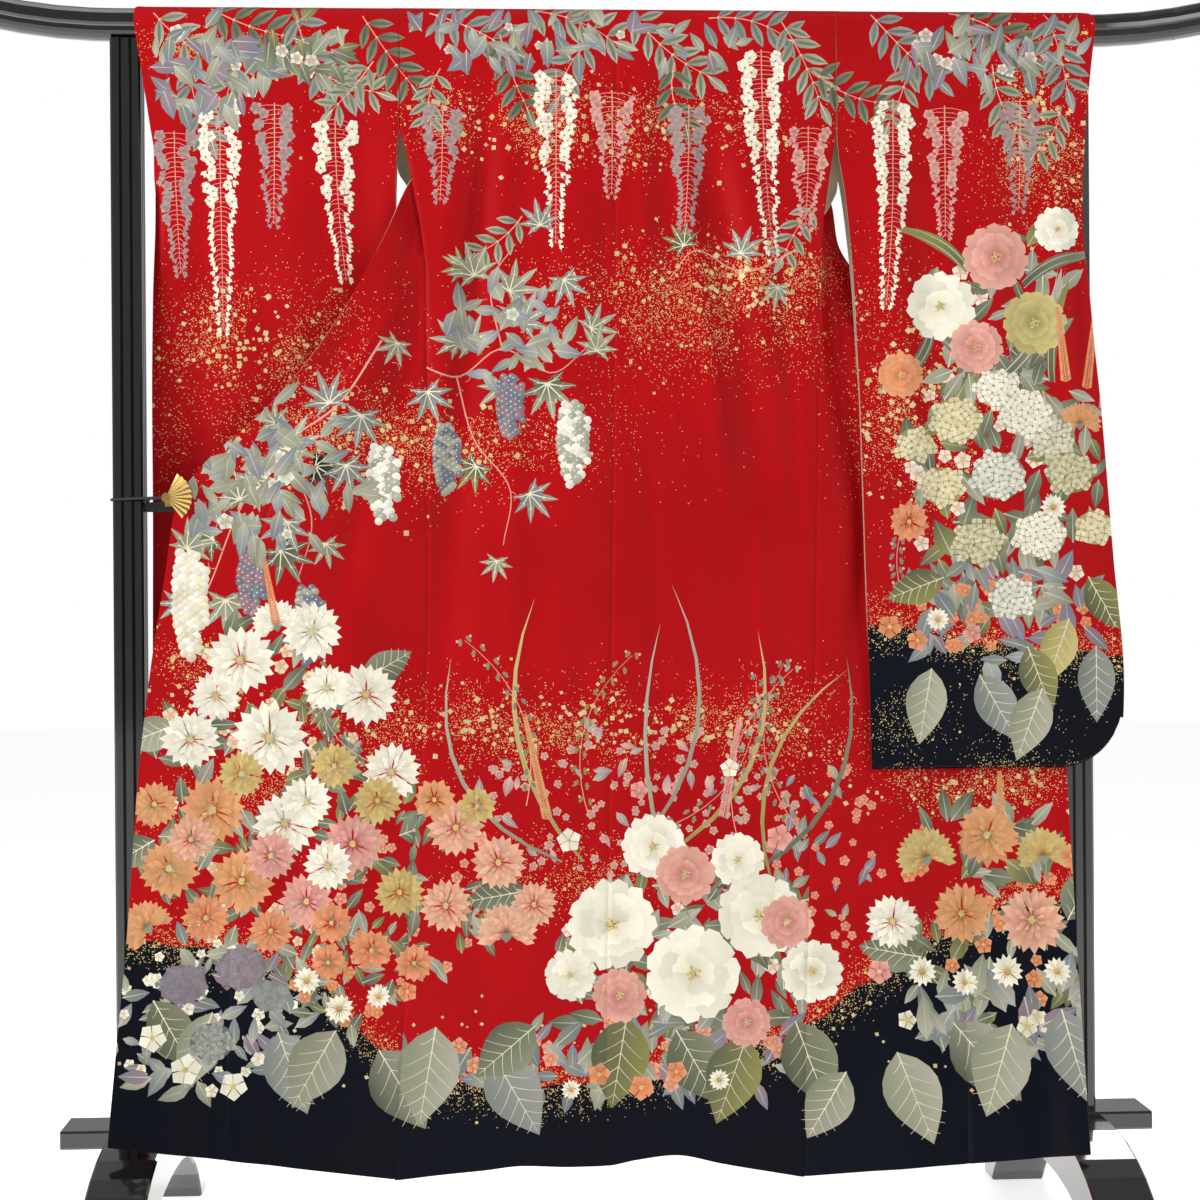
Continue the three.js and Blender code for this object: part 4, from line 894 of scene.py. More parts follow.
def cloth(name, loop, place, shapes=(), extra=()):
    """One cut piece as a thin closed shell: outer cloth, lining and a turned edge all round.
    loop is its outline on the flat in mm; place lays flat points in space."""
    rows = [beside(loop, 2.2), beside(loop, 4.8), *extra]
    flat, tris, top = fill_outline(loop, np.concatenate([grid_in(loop, 7, 8), *rows]), [s[0] for s in shapes])
    chain = rim_of(tris)
    edge = flat[chain]
    inner = np.concatenate([grid_in(loop, 11, 13), beside(loop, 3), *extra])
    back_flat, back_tris, _ = fill_outline(edge, inner, (), 1e-7)
    # the lining's edge points are the cloth's own, found again by place
    back_chain = np.array([np.argmin(((back_flat - p) ** 2).sum(1)) for p in edge])
    n_out, n_in = normals_of(place, flat), normals_of(place, back_flat)
    p_out = place(flat) + n_out * WALL / 2
    p_in = place(back_flat) - n_in * WALL / 2
    half = len(p_out)
    verts = np.concatenate([p_out, p_in])
    k, nxt = np.arange(len(edge)), np.roll(np.arange(len(edge)), -1)
    far = half + back_chain
    rim = [np.stack([chain[nxt], chain, far], 1), np.stack([chain[nxt], far, far[nxt]], 1)]
    rim = np.concatenate(rim)
    corner_of = np.concatenate([np.stack([nxt, k, k + len(k)], 1), np.stack([nxt, k + len(k), nxt + len(k)], 1)])
    whole = np.array([len(set(r)) == 3 for r in rim.tolist()])
    rim, corner_of = rim[whole], corner_of[whole]
    faces = np.concatenate([tris, back_tris[:, ::-1] + half, rim])
    mesh = bpy.data.meshes.new(name)
    n3 = len(tris) + len(back_tris)
    loops = faces.ravel()
    mesh.vertices.add(len(verts))
    mesh.vertices.foreach_set("co", ((verts + [SHIFT_X, 0, 0]) / 1000).ravel())
    mesh.loops.add(len(loops))
    mesh.loops.foreach_set("vertex_index", loops)
    mesh.polygons.add(len(faces))
    mesh.polygons.foreach_set("loop_start", np.arange(len(faces)) * 3)
    slots = np.repeat([0, 1, 1], [len(tris), len(back_tris), len(rim)])
    mesh.polygons.foreach_set("material_index", slots.astype(np.int32))
    mesh.update()
    # the dye: what shape lies uppermost, and its shaded colour at each corner
    paint = np.zeros((len(loops), 4))
    if shapes:
        first_tone, last_tone, start, way, alpha = (np.array([s[i] for s in shapes]) for i in range(1, 6))
        seen = np.nonzero(top >= 0)[0]
        spot = (place(flat) + [SHIFT_X, 0, 0])[:, [0, 2]]
        corner = tris[seen]
        m = top[seen]
        t = np.clip(((spot[corner] - start[m][:, None]) * way[m][:, None]).sum(2), 0, 1)[..., None]
        tone = first_tone[m][:, None] * (1 - t) + last_tone[m][:, None] * t
        rows = (seen[:, None] * 3 + np.arange(3)).ravel()
        paint[rows, :3] = tone.reshape(-1, 3)
        paint[rows, 3] = np.repeat(alpha[m], 3)
    mesh.attributes.new("paint", "FLOAT_COLOR", "CORNER").data.foreach_set("color", paint.astype(np.float32).ravel())
    # the flat cut as its own map: cloth on the left, lining beside it, the edge outside both
    (a0, b0), (a1, b1) = loop.min(0), loop.max(0)
    span = max(2 * (a1 - a0) + 24, b1 - b0 + 12)
    uv = np.zeros((len(loops), 2))
    uv[: 3 * len(tris)] = flat[tris.ravel()] - [a0 - 6, b0 - 6]
    uv[3 * len(tris) : 3 * n3] = back_flat[back_tris[:, ::-1].ravel()] - [a0 - 18 - (a1 - a0), b0 - 6]
    side = np.roll(edge, -1, 0) - np.roll(edge, 1, 0)
    side = np.stack([side[:, 1], -side[:, 0]], 1)
    side /= np.maximum(np.linalg.norm(side, axis=1), 1e-6)[:, None]
    strip = np.concatenate([edge + side * 0.2, edge + side * 2.2])
    uv[3 * n3 :] = strip[corner_of.ravel()] - [a0 - 6, b0 - 6]
    layer = mesh.uv_layers.new(name="OFBake")
    layer.data.foreach_set("uv", (uv / span).astype(np.float32).ravel())
    # fields that the dye follows: depth inside the black hem, and the gold mist
    spots = (verts + [SHIFT_X, 0, 0])[:, [0, 2]]
    for label, field in (("night", night_depth), ("mist", mist_density)):
        mesh.attributes.new(label, "FLOAT", "POINT").data.foreach_set("value", field(spots, name).astype(np.float32))
    lift = np.zeros((len(loops), 3))
    lift[: 3 * len(tris)] = n_out[tris.ravel()]
    lift[3 * len(tris) : 3 * n3] = -n_in[back_tris[:, ::-1].ravel()]
    mesh.polygons.foreach_set("use_smooth", np.arange(len(faces)) < n3)
    mesh.normals_split_custom_set(lift.tolist())
    obj = bpy.data.objects.new(name, mesh)
    bpy.context.scene.collection.objects.link(obj)
    mesh.materials.append(silk)
    mesh.materials.append(lining)
    return obj


# The black hem: [x, height of its upper edge] across the whole robe, in mm.
NIGHT_EDGE = [
    (-700, 470), (-560, 445), (-420, 400), (-330, 300), (-250, 255), (-60, 248), (60, 262), (170, 285),
    (260, 315), (340, 372), (430, 430), (520, 478), (600, 500), (760, 505),
]
NIGHT_SLEEVE = [(300, 905), (420, 890), (560, 860), (760, 845)]
NIGHT_SLEEVE_LEFT = [(-700, 850), (-500, 865), (-280, 880)]
# Gold mist: [x, z, half length, half height, density]
MIST = [
    (-570, 1720, 90, 24, 0.8),
    (-35, 1612, 240, 46, 0.7),
    (150, 1350, 200, 72, 0.7),
    (238, 1398, 105, 38, 0.9),
    (-500, 1300, 130, 72, 0.7),
    (-350, 1160, 250, 60, 0.7),
    (-590, 820, 60, 45, 0.7),
    (10, 750, 350, 50, 0.9),
    (-500, 655, 130, 45, 0.7),
    (-60, 545, 110, 45, 0.7),
    (630, 1600, 70, 110, 0.8),
    (450, 1185, 75, 105, 0.75),
    (530, 665, 140, 32, 0.7),
]


def night_depth(p, name):
    """How deep spots (x, z) of a piece lie inside the black hem, in metres."""
    rows = {"sleeve_right": NIGHT_SLEEVE, "sleeve_left": NIGHT_SLEEVE_LEFT}.get(name[: -len("_cloth")], NIGHT_EDGE)
    return (curve(rows, p[:, 0]) - p[:, 1]) / 1000


def mist_density(p, name):
    d = np.zeros(len(p))
    for x, z, rx, rz, much in MIST:
        d = np.maximum(d, much * np.exp(-(((p[:, 0] - x) / rx) ** 2) - ((p[:, 1] - z) / rz) ** 2))
    return d


class Wire:
    """A value inside a material; arithmetic on it adds the Math nodes."""

    def __init__(self, finish, socket):
        self.finish, self.socket = finish, socket

    def sum(self, kind, a, b=0.0, c=0.0):
        return self.finish.node("Math", {"operation": kind}, {0: a, 1: b, 2: c})

    def __add__(self, other):
        return self.sum("ADD", self, other)

    def __sub__(self, other):
        return self.sum("SUBTRACT", self, other)

    def __rsub__(self, other):
        return self.sum("SUBTRACT", other, self)

    def __mul__(self, other):
        return self.sum("MULTIPLY", self, other)

    def __lt__(self, other):
        return self.sum("LESS_THAN", self, other)

    def __gt__(self, other):
        return self.sum("GREATER_THAN", self, other)

    __radd__, __rmul__ = __add__, __mul__


class Finish:
    """A material in the making."""

    def __init__(self, name):
        self.material = bpy.data.materials.new(name)
        self.material.use_nodes = True
        self.tree = self.material.node_tree
        self.shader = self.tree.nodes["Principled BSDF"]

    def node(self, kind, settings=None, values=None, out=0):
        n = self.tree.nodes.new("ShaderNode" + kind)
        for k, v in (settings or {}).items():
            setattr(n, k, v)
        for k, v in (values or {}).items():
            self.put(n.inputs[k], v)
        return Wire(self, n.outputs[out])

    def put(self, socket, v):
        if isinstance(v, Wire):
            self.tree.links.new(v.socket, socket)
        else:
            socket.default_value = v

    def cover(self, share, under, over):
        """One colour over another."""
        return self.node("Mix", {"data_type": "RGBA"}, {0: share, 6: under, 7: over}, 2)

    def step(self, v, low, high):
        return self.node("MapRange", {"interpolation_type": "SMOOTHSTEP"}, {0: v, 1: low, 2: high})

    def noise(self, at, scale, detail=3.0, out=0):
        return self.node("TexNoise", None, {"Vector": at, "Scale": scale, "Detail": detail}, out)

    def stretched(self, at, size):
        return self.node("Mapping", None, {"Vector": at, "Scale": size})

    def done(self, bump=None, strength=0.3, distance=0.001, **values):
        for k, v in values.items():
            self.put(self.shader.inputs[k.replace("_", " ")], v)
        if bump:
            raised = self.node("Bump", None, {"Strength": strength, "Distance": distance, "Height": bump})
            self.put(self.shader.inputs["Normal"], raised)
        return self.material


RED, RED_DEEP = (0.44, 0.0035, 0.006, 1), (0.30, 0.0018, 0.0035, 1)
NIGHT_BLUE = (0.0032, 0.0042, 0.0085, 1)
GOLD_DUST = (0.66, 0.48, 0.2, 1)

f = Finish("dyed_silk")
at = f.node("TexCoord", out="Object")
paint = f.node("Attribute", {"attribute_name": "paint"}, out="Color")
laid = f.node("Attribute", {"attribute_name": "paint"}, out="Alpha")
depth = f.node("Attribute", {"attribute_name": "night"}, out="Fac")
mist = f.node("Attribute", {"attribute_name": "mist"}, out="Fac")
cloudy = f.noise(at, 7)
depth = depth + (f.noise(at, 24) - 0.5) * 0.03
dark = f.step(depth, -0.003, 0.004)
ground = f.cover(dark, f.cover(cloudy, RED_DEEP, RED), NIGHT_BLUE)
# gold dust: dense along the black edge and in the mists, in patches
edge = f.step(f.node("Math", {"operation": "ABSOLUTE"}, {0: depth}), 0.075, 0.0)
much = mist * f.step(f.noise(at, 13), 0.32, 0.66) + edge * edge * 0.5
grain = f.node("TexVoronoi", None, {"Vector": at, "Scale": 620.0}, "Distance")
grain_kind = f.node("SeparateColor", None, {0: f.node("TexVoronoi", None, {"Vector": at, "Scale": 620.0}, "Color")})
dust = (grain_kind < much * 0.62) * (grain < 0.52)
square = {"distance": "CHEBYCHEV"}, {"Vector": at, "Scale": 150.0}
leaf_kind = f.node("SeparateColor", None, {0: f.node("TexVoronoi", *square, "Color")})
leaf_size = f.node("TexVoronoi", *square, "Distance")
squares = (leaf_kind < much * 0.16) * (leaf_size < 0.3)
gold = f.node("Math", {"operation": "MAXIMUM"}, {0: dust, 1: squares})
ground = f.cover(gold, ground, GOLD_DUST)
# the drawn shapes lie in the cloth; those in gold are leaf
drawn = laid > 0.25
gilt = drawn * (laid < 0.75)
shade = f.noise(at, 60)
toned = f.node("Mix", {"data_type": "RGBA", "blend_type": "MULTIPLY"}, {0: 1.0, 6: paint, 7: (0.5, 0.46, 0.42, 1)}, 2)
tinted = f.cover(shade * 0.22, paint, toned)
colour = f.cover(drawn, ground, tinted)
crepe = f.noise(f.stretched(at, (1, 1, 0.45)), 950, 2) + f.noise(at, 210, 2) * 0.5
silk = f.done(
    crepe,
    0.22,
    0.0006,
    Base_Color=colour,
    Roughness=f.noise(at, 30) * 0.1 + 0.43,
    Metallic=gold * (1 - drawn) * 0.4 + gilt * 0.45,
    Specular_IOR_Level=0.07,
)

# plain cream silk inside, toned darker than cream partly as painted shade for the gaps where it shows, red towards
# the hem
f = Finish("cream_lining")
at = f.node("TexCoord", out="Object")
low = f.step(f.node("Attribute", {"attribute_name": "night"}, out="Fac") + (f.noise(at, 3) - 0.5) * 0.05, -0.06, 0.05)
# both creams are darker than the silk's own cream, partly painted shade; the noise mixes them at random
tone = f.cover(f.noise(at, 9), (0.56, 0.5, 0.37, 1), (0.47, 0.41, 0.29, 1))
lining = f.done(
    f.noise(f.stretched(at, (1, 1, 0.3)), 1400, 2),
    0.18,
    0.0005,
    Base_Color=f.cover(low, tone, (0.36, 0.008, 0.022, 1)),
    Roughness=f.noise(at, 40) * 0.1 + 0.5,
    Specular_IOR_Level=0.1,
)

# ----------------------------------------------------- the back, left and right
# Two straight strips that go over the rail, sewn down the middle of the back.
OVER_RAIL = [
    (21.8, 1755), (21.2, 1766), (17.2, 1775.4), (9.8, 1779.2), (0, 1780.1), (-9.8, 1779.2), (-17.2, 1775.4),
    (-21.2, 1766), (-22.6, 1755), (-23.8, 1742),
]
BACK_EDGES = [
    # [z, left side x, centre seam x, right side x]
    (1782, -283, 29, 344),
    (1602, -283, 26.3, 343),
    (1586, -277, 26.1, 341),
    (1521, -264, 25, 331),
    (1460, -253.5, 24, 323),
    (1385, -246.5, 22.8, 319.5),
    (1217, -246.5, 20, 315),
    (933, -247, 15, 308),
    (509, -273, 6.5, 293),
    (130, -298, -1, 282),
]
HEM = [(-303, 116), (-174, 128), (-117, 134), (-45, 131), (-2, 131), (43, 138), (99, 144), (163, 132), (280, 110)]
BACK_FOLDS = [
    # [x at top, x at foot, depth, half width, z top, z foot]
    (-152, -238, 11, 30, 1690, 720),
    (150, 258, 12, 30, 1640, 980),
    (-95, -120, 4.5, 22, 1700, 1180),
    (96, 104, 5, 20, 1700, 1250),
    (-20, -40, -4, 42, 1640, 700),
    (205, 268, -5, 26, 1600, 900),
    (-205, -222, -5, 24, 1560, 1250),
    # smaller creases between the main ones
    (-172, -252, -4.4, 13, 1600, 1000),
    (122, 185, -4.2, 13, 1560, 1050),
    (-58, -75, 3.4, 14, 1690, 1350),
    (62, 66, -3.4, 13, 1690, 1400),
    (258, 286, 4.2, 12, 1500, 1000),
    (-30, -12, 2.8, 18, 900, 300),
    (150, 172, -3.2, 20, 700, 250),
    (-180, -170, 3, 22, 640, 220),
    (8, 2, 2.4, 11, 1500, 1200),
    (-262, -236, 3.2, 10, 1420, 1150),
    (70, 90, 2.6, 15, 1150, 620),
    (-120, -128, -3, 15, 1250, 760),
    (228, 236, -3, 16, 1100, 640),
]
HEM_WAVES = [(-235, 5, 46), (-95, -5, 60), (60, 5, 50), (190, -5, 52)]
SEAM_DIP, SEAM_HALF = 1.7, 3.2
TUCKS = [(-165, 90, 1428), (60, 75, 1455)]  # [x, half length, z]

# The rail's path as distance from its front foot, with a soft curve through its points.
rail_pts = np.array(OVER_RAIL[::-1], float)
rail_run = np.concatenate([[0], np.cumsum(np.hypot(*np.diff(rail_pts, axis=0).T))])
RAIL_LENGTH = rail_run[-1]


def over_rail(d):
    """Place on the rail's top for a distance d from its front foot: y and z."""
    tangent = np.gradient(rail_pts, rail_run, axis=0)
    i = np.clip(np.searchsorted(rail_run, d, side="right") - 1, 0, len(rail_run) - 2)
    h = rail_run[i + 1] - rail_run[i]
    t = np.clip((d - rail_run[i]) / h, 0, 1)[:, None]
    h = h[:, None]
    return bend(t, h, rail_pts[i], rail_pts[i + 1], tangent[i], tangent[i + 1])


def fold_depth(x, z, folds):
    y = np.zeros(np.broadcast(x, z).shape)
    for xt, xf, depth, half, zt, zf in folds:
        t = (zt - z) / (zt - zf)
        live = ease(t, -0.06, 0.16) * (1 - ease(t, 0.72, 1.08))
        tc = np.clip(t, 0, 1)
        y = y + depth * live * bump(x, mix(xt, xf, tc), half * mix(0.75, 1.25, tc))
    return y


def back_base(x, z):
    y = -24 - 32 * (1755 - z) / 1605 + fold_depth(x, z, BACK_FOLDS)
    low = 1 - ease(z, 160, 620)
    for c, d, w in HEM_WAVES:
        y = y - (abs(d) * 0.4 - d * 0.6 * bump(x, c, w)) * low
    return y


def back_y(x, z):
    """The back's depth with its pressed seams and its sewn tuck."""
    y = back_base(x, z)
    for col in (1, 2, 3):
        y = y + SEAM_DIP * bump(x, curve(BACK_EDGES, z, col), SEAM_HALF)
    for tx, half, tz in TUCKS:
        y = y + 1.1 * bump(z, tz, 2.6) * bump(x, tx, half) - 0.7 * bump(z, tz + 5, 3.5) * bump(x, tx, half)
    return y


def back_place(ab):
    """Flat points of the back (x, height, then on over the rail) laid in space."""
    x, b = ab[:, 0], ab[:, 1]
    z = np.minimum(b, 1742)
    f = (1742 - z) / (1742 - 125)
    e = ease(f, -0.05, 0.03)
    y = back_y(x, z) * e + (1 - e) * -23.8
    up = b > 1742
    yz = over_rail(np.clip(b - 1742, 0, RAIL_LENGTH))
    beyond = np.maximum(b - 1742 - RAIL_LENGTH, 0)
    return np.stack([x, np.where(up, yz[:, 0], y), np.where(up, yz[:, 1] - beyond, z)], 1)


def strip_outline(left, right, low, high, step):
    """Closed outline between two side lines x(b), from the foot line low(x) to the level high."""
    foot_l, foot_r = left(low(left(130.0))), right(low(right(130.0)))
    n = max(2, round(abs(foot_r - foot_l) / step))
    bottom = [(x, low(x)) for x in np.linspace(foot_l, foot_r, n + 1)]
    m = round((high - 130) / step)
    rise = [(right(b), b) for b in np.linspace(bottom[-1][1], high, m + 1)][1:]
    top = [(x, high) for x in np.linspace(right(high), left(high), n + 1)][1:]
    fall = [(left(b), b) for b in np.linspace(high, bottom[0][1], m + 1)][1:-1]
    return np.array(bottom + rise + top + fall, float)


for name, cl, cr, gl, gr in (("back_left", 1, 2, 0, 0.15), ("back_right", 2, 3, 0.15, 0)):
    loop = strip_outline(
        lambda b: float(curve(BACK_EDGES, b, cl)) - gl,
        lambda b: float(curve(BACK_EDGES, b, cr)) + gr,
        lambda x: float(curve(HEM, x)),
        1742 + RAIL_LENGTH,
        7,
    )
    panel = cloth(name + "_cloth", loop, back_place, shapes_over("b", lambda p: p, loop))
    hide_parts(name)
    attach(panel, "root")

# --------------------------------------------- the fronts, overlaps and collar
# Each front comes over the rail behind the collar, turns outwards below the
# armhole and is drawn out to its post; the overlap and collar are sewn on it.
FRONT_LEFT = [
    # [t, side x, side y, side z, free x, free y, free z]
    (0.0, -282.8, 21.8, 1754.7, -56, 23, 1754.7),
    (0.06, -282.8, 22, 1700, -98, 29, 1704),
    (0.12, -283, 20, 1636, -152, 31, 1652),
    (0.17, -287, 23.5, 1584, -204, 25, 1606),
    (0.19, -287, 22, 1556, -230, 14, 1584),
    (0.21, -272, 10, 1527, -250, 0, 1560),
    (0.23, -255, -2, 1497, -262, -16, 1540),
    (0.25, -249, -14, 1466, -274, -28, 1519),
    (0.29, 0, 0, 1412, -296, -46, 1466),
    (0.35, 0, 0, 1318, -342, -54, 1376),
    (0.41, 0, 0, 1222, -402, -59, 1284),
    (0.47, 0, 0, 1128, -474, -64, 1200),
    (0.53, 0, 0, 1040, -560, -68, 1122),
    (0.57, 0, 0, 985, -595, -70, 1071),
    (0.63, 0, 0, 900, -612, -69, 970),
    (0.7, 0, 0, 780, -635, -68, 824),
    (0.78, 0, 0, 620, -654, -67, 656),
    (0.88, 0, 0, 410, -667, -85, 450),
    (0.94, 0, 0, 270, -677, -112, 316),
    (1.0, 0, 0, 118, -682, -160, 193),
]
FRONT_RIGHT = [
    (0.0, 343.8, 21.8, 1754.7, 114, 23, 1754.7),
    (0.06, 343.5, 22, 1700, 156, 30, 1704),
    (0.12, 343, 20, 1636, 210, 33, 1652),
    (0.17, 349, 22, 1584, 262, 32, 1606),
    (0.19, 353, 19, 1556, 288, 32, 1582),
    (0.21, 351, 14, 1528, 316, 30, 1558),
    (0.23, 338, 4, 1500, 334, 28, 1530),
    (0.25, 318, -8, 1466, 345, 25, 1500),
    (0.29, 0, 0, 1412, 350, 17, 1452),
    (0.35, 0, 0, 1318, 398, 6, 1374),
    (0.41, 0, 0, 1222, 462, -7, 1290),
    (0.47, 0, 0, 1128, 535, -17, 1206),
    (0.53, 0, 0, 1040, 615, -24.6, 1124),
    (0.57, 0, 0, 985, 648, -25, 1075),
    (0.63, 0, 0, 900, 660, -27, 940),
    (0.7, 0, 0, 780, 666, -36, 780),
    (0.76, 0, 0, 660, 668, -45, 675),
    (0.86, 0, 0, 440, 672, -72, 465),
    (0.93, 0, 0, 280, 665, -135, 310),
    (1.0, 0, 0, 111, 654, -210, 170),
]
OKUMI_SEAM = [
    # [t, share of the width left, right]
    (0.44, 0.78, 0.8),
    (0.5, 0.66, 0.68),
    (0.56, 0.655, 0.655),
    (0.63, 0.668, 0.63),
    (0.8, 0.65, 0.59),
    (1.0, 0.605, 0.582),
]
FRONT_FOLDS = {
    "left": [
        # [share at top, share at foot, depth, half width, t top, t foot]
        (0.2, 0.34, 7, 22, 0.28, 0.66),
        (0.55, 0.62, -7, 26, 0.3, 0.6),
        (0.82, 0.8, 5, 20, 0.34, 0.54),
        (0.3, 0.25, -5, 34, 0.55, 0.95),
        (0.72, 0.66, 6, 34, 0.66, 1.05),
        (0.42, 0.45, 4, 26, 0.7, 1.05),
    ],
    "right": [
        (0.3, 0.16, 9, 20, 0.27, 0.7),
        (0.62, 0.4, -6, 26, 0.3, 0.7),
        (0.8, 0.62, 5, 28, 0.45, 0.95),
        (0.34, 0.36, -5, 30, 0.62, 1.05),
        (0.85, 0.86, 5, 24, 0.66, 1.05),
    ],
}
SEWN_FROM = 0.29
OVERLAP_TOP = {"left": 0.46594, "right": 0.46868}
COLLAR_END = {"left": 0.55976, "right": 0.56349}
COLLAR_WIDTH = 52
FRONT_RUN = 1700  # mm of flat map from t = 0 to 1
SIDES = {"left": (-1, FRONT_LEFT, 1), "right": (1, FRONT_RIGHT, 3)}


def front_ends(side, t):
    """The side line's and the free edge's points at t."""
    sign, rows, col = SIDES[side]
    zs = curve(rows, t, 3)
    seam_x = curve(BACK_EDGES, zs, col) - sign * 0.3
    seam_y = back_base(curve(BACK_EDGES, zs, col), zs)
    last_x = float(curve(BACK_EDGES, 1412, col)) - sign * 0.3
    loose = [r for r in rows if r[0] <= 0.25] + [(SEWN_FROM, last_x, float(back_base(last_x, np.float64(1412))))]
    sewn = t > SEWN_FROM
    start = np.stack([np.where(sewn, seam_x, curve(loose, t, 1)), np.where(sewn, seam_y, curve(loose, t, 2)), zs], -1)
    end = np.stack([curve(rows, t, 4), curve(rows, t, 5), curve(rows, t, 6)], -1)
    return start, end


def front_width(side, t):
    start, end = front_ends(side, np.asarray(t, float))
    return np.linalg.norm(end - start, axis=-1)


def front_point(side, t, u):
    start, end = front_ends(side, t)
    p = start + (end - start) * u[:, None]
    width = np.hypot(end[:, 0] - start[:, 0], end[:, 2] - start[:, 2])
    for ut, uf, depth, half, tt, tf in FRONT_FOLDS[side]:
        s = (t - tt) / (tf - tt)
        live = ease(s, -0.05, 0.25) * (1 - ease(s, 0.75, 1.05)) * ease(u, 0, 0.12) * (1 - ease(u, 0.9, 1) * 0.6)
        p[:, 1] += depth * live * bump(u * width, mix(ut, uf, np.clip(s, 0, 1)) * width, half)
    seams = bump(u * width, 0, SEAM_HALF) * (t > SEWN_FROM)
    seams = seams + bump((u - overlap_share(side, t)) * width, 0, SEAM_HALF) * (t > OVERLAP_TOP[side])
    seams = seams + bump((u - collar_share(side, t)) * width, 0, SEAM_HALF) * (t < COLLAR_END[side])
    p[:, 1] += SEAM_DIP * seams
    if side == "left":
        for tu, half, tt in ((0.62, 0.34, 0.585), (0.5, 0.4, 0.33)):
            sewn = 1.1 * bump(t, tt, 0.0016) - 0.7 * bump(t, tt - 0.003, 0.002)
            p[:, 1] += sewn * bump(u, tu, half)
    return p


def collar_share(side, t):
    return 1 - np.clip(COLLAR_WIDTH / front_width(side, t), 0.05, 0.62)


def tuck_in(side, t):
    """How far a seam's two edges reach past it, as a share of the width."""
    return 0.2 / front_width(side, t)


def overlap_share(side, t):
    share = curve(OKUMI_SEAM, t, 1 if side == "left" else 2)
    return np.minimum(share, collar_share(side, np.maximum(t, OVERLAP_TOP[side])) - 4 / front_width(side, t))


def front_place(side):
    sign = SIDES[side][0]

    def place(ab):
        t = np.clip(-ab[:, 1] / FRONT_RUN, 0, 1)
        return front_point(side, t, sign * ab[:, 0] / front_width(side, t))

    return place


def on_front(side, t, u):
    """Flat place of the spot at share t down a front and share u across it."""
    return np.stack([SIDES[side][0] * u * front_width(side, t), -t * FRONT_RUN], 1)


def front_chart(side, high, low, flat=on_front):
    """Finds where points of the hung picture (x, z) lie on a front's flat, from t = high down to low."""
    ts = np.linspace(high, low, 320)
    start, end = front_ends(side, ts)
    s0, d0 = start[:, [0, 2]], (end - start)[:, [0, 2]]

    def chart(points):
        out = []
        for p in np.array_split(points, len(points) // 4000 + 1):
            rel = p[:, None] - s0
            cross = rel[..., 0] * d0[:, 1] - rel[..., 1] * d0[:, 0]
            change = cross[:, :-1] * cross[:, 1:] <= 0
            i = np.argmax(change, 1)
            found = change.any(1)
            k = np.arange(len(p))
            f = cross[k, i] / (cross[k, i] - cross[k, i + 1] + 1e-12)
            t = ts[i] + np.clip(f, 0, 1) * (ts[1] - ts[0])
            below = ~found & (p[:, 1] < 300) if low == 1 else np.zeros(len(p), bool)
            t[below] = 1
            a, b = front_ends(side, t)
            a, d = a[:, [0, 2]], (b - a)[:, [0, 2]]
            u = ((p - a) * d).sum(1) / (d * d).sum(1)
            ab = flat(side, t, u)
            ab[below, 1] -= np.abs((p - a - d * u[:, None])[below, 1]) if ab.shape[1] == 2 else 0
            ab[~found & ~below] = np.nan
            out.append(ab)
        return np.concatenate(out)

    return chart


def front_outline(side, t0, t1, left, right, step=7):
    """Outline on the flat between shares left(t) and right(t) of the width, from t0 down to t1."""
    sign = SIDES[side][0]
    n = max(2, round((t1 - t0) * FRONT_RUN / step))
    ts = np.linspace(t0, t1, n + 1)
    w = front_width(side, ts)
    one = np.stack([sign * left(ts) * w, -ts * FRONT_RUN], 1)
    two = np.stack([sign * right(ts) * w, -ts * FRONT_RUN], 1)

    def cross(p, q):
        m = max(1, round(abs(q[0] - p[0]) / step))
        return [mix(p, q, i / m) for i in range(1, m)]

    loop = np.array([*one, *cross(one[-1], two[-1]), *two[::-1], *cross(two[0], one[0])])
    return loop if sign > 0 else loop[::-1]


for side in ("left", "right"):
    top, end = OVERLAP_TOP[side], COLLAR_END[side]

    def seam_share(t):
        return np.where(t < top, collar_share(side, t), overlap_share(side, t))

    loop = front_outline(side, 0, 1, lambda t: 0 * t, lambda t: seam_share(t) + tuck_in(side, t))
    letter = side[0]
    picture = shapes_over("b", front_chart(side, 0.002, 0.17), loop)
    picture += shapes_over(letter, front_chart(side, 0.27, 1), loop)
    tuck_levels = (0.582, 0.585, 0.588, 0.327, 0.33) if side == "left" else ()
    tuck_row = [on_front(side, np.full(40, t), np.linspace(0.02, 0.6, 40)) for t in tuck_levels]
    panel = cloth("front_%s_cloth" % side, loop, front_place(side), picture, tuck_row)
    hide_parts("front_" + side)
    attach(panel, "root")

    def free_share(t):
        return np.where(t <= end, collar_share(side, t) + tuck_in(side, t), 1)

    loop = front_outline(side, top, 1, lambda t: overlap_share(side, t) - tuck_in(side, t), free_share)
    picture = shapes_over(letter, front_chart(side, 0.27, 1), loop)
    panel = cloth("okumi_%s_cloth" % side, loop, front_place(side), picture)
    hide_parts("okumi_" + side)
    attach(panel, "root")

